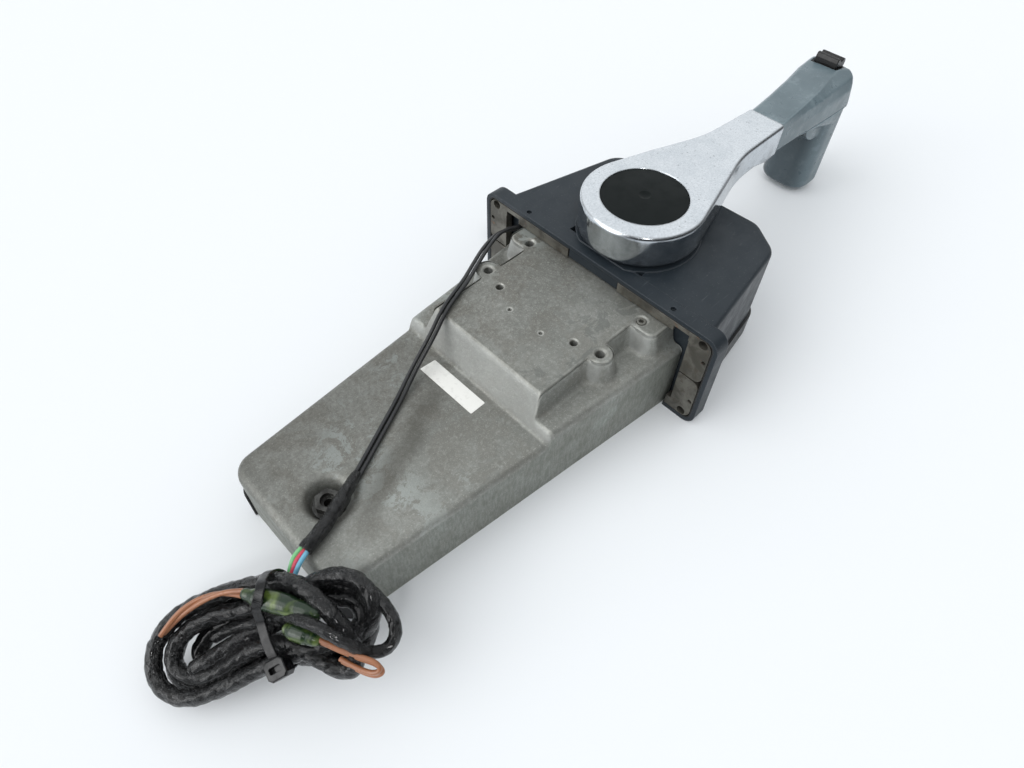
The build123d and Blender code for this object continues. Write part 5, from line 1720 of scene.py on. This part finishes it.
                if 0 < j < wide - 2 and open_cell[i, j - 1]:
                    continue
                a = i * wide + j
                faces.append((a, a + wide, a + wide + 1, a + 1))
        points = table.reshape(-1, 3)
        start = len(points)
        end_row = table[0, 1:-1].copy()
        end_row[:, 2] = self.size.skirt_z
        points = np.vstack([points, end_row])
        faces += [(j + 1, j + 2, start + j + 1, start + j) for j in range(wide - 3)]
        used, packed = np.unique(np.array(faces), return_inverse=True)
        return points[used], [tuple(face) for face in packed.reshape(-1, 4).tolist()]

    def turned(self, centre: tuple[float, float],
               profile: Sequence[tuple[float, float]]) -> tuple[np.ndarray, Faces]:
        """A surface of revolution hung from an opening: (centre + r (cos a, sin a), z) for each ring (r, z).

        Args:
            centre: Centre of the opening.
            profile: Radius and height of each ring.

        Returns:
            Vertices in millimetres, and faces.
        """
        edge = self.edges[centre]
        steps = len(edge)
        angle = np.arctan2(edge[:, 1] - centre[1], edge[:, 0] - centre[0])
        rings = [edge, *(
            np.stack([centre[0] + r * np.cos(angle), centre[1] + r * np.sin(angle), np.full(steps, z)], axis=1)
            for r, z in profile
        )]
        return np.vstack(rings), [face[::-1] for face in ring_faces(len(rings), steps)]

    def rims(self) -> list[tuple[np.ndarray, Faces]]:
        """Countersunk rims of the holes, and the round dish of the recessed nut.

        Returns:
            Vertices and faces of each.
        """
        return [
            self.turned(spot, [(radius, face - depth) for radius, depth in shape])
            for spots, _, face, shape in self.openings for spot in spots
        ]

    def rest_of_casting(self) -> bpy.types.Object:
        """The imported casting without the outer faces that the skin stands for.

        Returns:
            The rest as a mesh object.
        """
        source = self.frame["nodes"]["case_casting"]
        work = bmesh.new()
        work.from_mesh(source.data)
        bmesh.ops.bisect_plane(
            work, geom=work.verts[:] + work.edges[:] + work.faces[:],
            plane_co=(0, 0, self.size.skirt_z * MILLI), plane_no=(0, 0, 1),
        )
        places = np.array([face.calc_center_median() for face in work.faces]) / MILLI
        x, y, z = places.T
        outer = (z > self.height(x, y) - 1.4) | (self.rim_depth(x, y) < 1.0)
        dish = (np.hypot(x - self.DISH[0], y - self.DISH[1]) < 12.7) & (z > self.size.plateau - 8.2)
        gone = ((outer & (z > self.size.skirt_z)) | dish) & (x < self.size.root_x - 0.1)
        doomed = [face for face, drop in zip(work.faces[:], gone) if drop]
        bmesh.ops.delete(work, geom=doomed, context="FACES")
        mesh = bpy.data.meshes.new("case_frame")
        work.to_mesh(mesh)
        work.free()
        mesh.materials.clear()
        mesh.materials.append(self.material)
        return link("case_frame", mesh)

    def build(self) -> None:
        """Make the skin and put it in the casting's place."""
        lists = [self.sheet(), *self.rims()]
        points, faces, base = [], [], 0
        for part_points, part_faces in lists:
            points.append(part_points)
            faces += [tuple(base + i for i in face) for face in part_faces]
            base += len(part_points)
        skin = mesh_object("case_skin", np.vstack(points) * MILLI, faces, self.material)
        work = bmesh.new()
        work.from_mesh(skin.data)
        bmesh.ops.remove_doubles(work, verts=work.verts[:], dist=2e-7)
        bmesh.ops.recalc_face_normals(work, faces=work.faces[:])
        work.to_mesh(skin.data)
        work.free()
        LOG.info("case_skin has %d faces", len(skin.data.polygons))
        for piece in (skin, self.rest_of_casting()):
            stand_in(piece, "case_casting")


class SoftShell:
    """Moulded plastic pieces with real soft edges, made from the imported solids' own form."""

    def __init__(self, frame: dict) -> None:
        """Keep the frame.
        """
        self.frame = frame

    def soften(self, node: str, body: str, material: bpy.types.Material, cell: float,
               rounds: int) -> bpy.types.Object:
        """Re-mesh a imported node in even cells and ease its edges.

        Args:
            node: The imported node.
            body: The body it rides on.
            material: Its finish.
            cell: Cell size in millimetres.
            rounds: Rounds of smoothing.

        Returns:
            The soft piece.
        """
        made = link(f"{node}_moulded", self.frame["nodes"][node].data.copy())
        remesh = made.modifiers.new("cells", "REMESH")
        remesh.mode = "VOXEL"
        remesh.voxel_size = cell * MILLI
        ease = made.modifiers.new("ease", "SMOOTH")
        ease.factor = 0.5
        ease.iterations = rounds
        graph = bpy.context.evaluated_depsgraph_get()
        mesh = bpy.data.meshes.new_from_object(made.evaluated_get(graph))
        made.modifiers.clear()
        made.data = mesh
        mesh.name = made.name
        mesh.materials.clear()
        mesh.materials.append(material)
        mesh.polygons.foreach_set("use_smooth", [True] * len(mesh.polygons))
        stand_in(made, node, body)
        LOG.info("%s has %d faces", made.name, len(mesh.polygons))
        return made


class Label:
    """The bare white label on the case."""

    def __init__(self) -> None:
        """Make the label finish."""
        self.material = Finishes.flat("white label", (232, 232, 228), 0.55)

    def stick(self) -> bpy.types.Object:
        """Lay a thin plate on the top face, with corners rounded as corner + 0.7 ((1 - t)^2 before + t^2 after).

        Returns:
            The label.
        """
        corners = np.array(LABEL_CORNERS)
        rim = []
        for i, corner in enumerate(corners):
            before = corners[i - 1] - corner
            after = corners[(i + 1) % 4] - corner
            before /= np.linalg.norm(before)
            after /= np.linalg.norm(after)
            for share in np.linspace(0, 1, 5):
                rim.append(corner + 0.7 * ((1 - share) ** 2 * before + share**2 * after))
        rim = np.array(rim)
        count = len(rim)
        low = np.column_stack([rim, np.full(count, LABEL_TOP - 0.14)])
        high = np.column_stack([rim, np.full(count, LABEL_TOP)])
        points = np.vstack([low, high]) * MILLI
        faces = [tuple(range(count))[::-1], tuple(range(count, 2 * count))]
        faces += [(i, (i + 1) % count, count + (i + 1) % count, count + i) for i in range(count)]
        made = mesh_object("bare_label", points, faces, self.material, smooth=False)
        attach(made, CASE_BODY)
        return made


class Studio:
    """Pale floor, soft light and the camera."""

    FLOOR_COLOUR = srgb(246, 249, 252)
    BACKDROP_SIDE = (-0.89, 0.45, 0.0)
    CEILING_SIDE = (0.45, 0.45, 0.77)

    def build(self) -> None:
        """Set up everything that isn't the object."""
        self.camera()
        self.floor()
        self.sky()
        self.key()
        bpy.context.scene.view_settings.view_transform = "Standard"

    @staticmethod
    def camera() -> None:
        """Place the camera."""
        data = bpy.data.cameras.new("camera")
        data.lens = CAMERA_LENS
        data.sensor_width = 36.0
        data.clip_start = 0.01
        data.clip_end = 100.0
        made = link("camera", data)
        made.location = CAMERA_PLACE
        made.rotation_euler = [math.radians(v) for v in CAMERA_TURN_DEG]
        bpy.context.scene.camera = made

    def floor(self) -> None:
        """A wide plain floor just under the control."""
        plain = Graph("floor").surface(Base_Color=srgb(234, 237, 240), Roughness=1.0, Specular_IOR_Level=0.0)
        half = 30.0
        z = (FLOOR_Z - 0.05) * MILLI
        points = np.array([(-half, -half, z), (half, -half, z), (half, half, z), (-half, half, z)])
        mesh_object("floor", points, [(0, 1, 2, 3)], plain, smooth=False)

    def sky(self) -> None:
        """Room light: bright above, darker low down, and plain to the camera."""
        world = bpy.data.worlds.new("room")
        world.use_nodes = True
        bpy.context.scene.world = world
        nodes = Nodes(world.node_tree)
        direction = nodes.node("ShaderNodeTexCoord").outputs["Generated"]
        height = nodes.span(nodes.axis(2, direction), 0.0, 0.75, 0.42, 0.88)
        ceiling = nodes.span(self.towards(nodes, direction, self.CEILING_SIDE), 0.40, 0.80, 0.16, 1.0)
        backdrop = nodes.span(self.towards(nodes, direction, self.BACKDROP_SIDE), 0.50, 0.88, 0.03, 0.95)
        lit = self.background(nodes, (0.97, 0.99, 1.0, 1.0), height)
        seen = self.background(nodes, (0.95, 0.98, 1.0, 1.0), nodes.maths("MAXIMUM", ceiling, backdrop))
        shown = self.background(nodes, self.FLOOR_COLOUR, 1.0)
        path = nodes.node("ShaderNodeLightPath")
        room = self.choose(nodes, path.outputs["Is Glossy Ray"], lit, seen)
        whole = self.choose(nodes, path.outputs["Is Camera Ray"], room, shown)
        nodes.feed(nodes.node("ShaderNodeOutputWorld").inputs[0], whole)

    @staticmethod
    def background(nodes: Nodes, colour: tuple[float, float, float, float], strength: object) -> Socket:
        """Light of one colour from all round.

        Args:
            nodes: Nodes of the room.
            colour: Linear colour.
            strength: Socket or number.

        Returns:
            The light.
        """
        made = nodes.node("ShaderNodeBackground")
        nodes.feed(made.inputs["Color"], colour)
        nodes.feed(made.inputs["Strength"], strength)
        return made.outputs[0]

    @staticmethod
    def choose(nodes: Nodes, share: Socket, first: Socket, second: Socket) -> Socket:
        """The first light where the share is 0, and the second where it is 1.

        Args:
            nodes: Nodes of the room.
            share: 0 or 1.
            first: A light.
            second: A light.

        Returns:
            The chosen light.
        """
        made = nodes.node("ShaderNodeMixShader")
        for target, value in zip(made.inputs, (share, first, second)):
            nodes.feed(target, value)
        return made.outputs[0]

    @staticmethod
    def towards(nodes: Nodes, direction: Socket, side: Point) -> Socket:
        """How far a direction points to a side: the cosine between them."""
        size = math.hypot(*side)
        return nodes.dot(direction, [value / size for value in side])

    @staticmethod
    def key() -> None:
        """A wide soft light from behind at the left, a low one at the left, and a small one above the hank."""
        for name, energy, angle, direction in (
            ("window", 0.95, 50, (0.70, -0.36, -0.86)),
            ("low_window", 0.75, 38, (1.0, -0.22, -0.36)),
            ("lamp", 0.30, 8, (0.44, 0.60, -1.0)),
        ):
            data = bpy.data.lights.new(name, "SUN")
            data.energy = energy
            data.angle = math.radians(angle)
            made = link(name, data)
            made.rotation_euler = Vector(direction).to_track_quat("-Z", "Y").to_euler()


def main() -> None:
    """Build the whole scene."""
    logging.basicConfig(level=logging.INFO)
    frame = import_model()
    Studio().build()
    finishes = Finishes()
    maker = CordMaker(finishes)
    maker.lay_leads()
    cores = maker.lay_cores()
    maker.lay_looms(cores)
    maker.lay_brown_wires()
    maker.lay_sleeve()
    maker.tie_strap()
    maker.bullet_sleeves()
    CaseSkin(frame, finishes.table[Slot.CAST]).build()
    shells = SoftShell(frame)
    for node in ("grip_top_cover", "grip_lower_shell"):
        shells.soften(node, "control_lever", finishes.table[Slot.GRIP], 0.55, 7)
    finishes.paint(frame)
    Label().stick()
    for piece in bpy.context.scene.objects:
        LOG.info("%s is in place, a %s", piece.name, piece.type.lower())


if __name__ == "__main__":
    main()
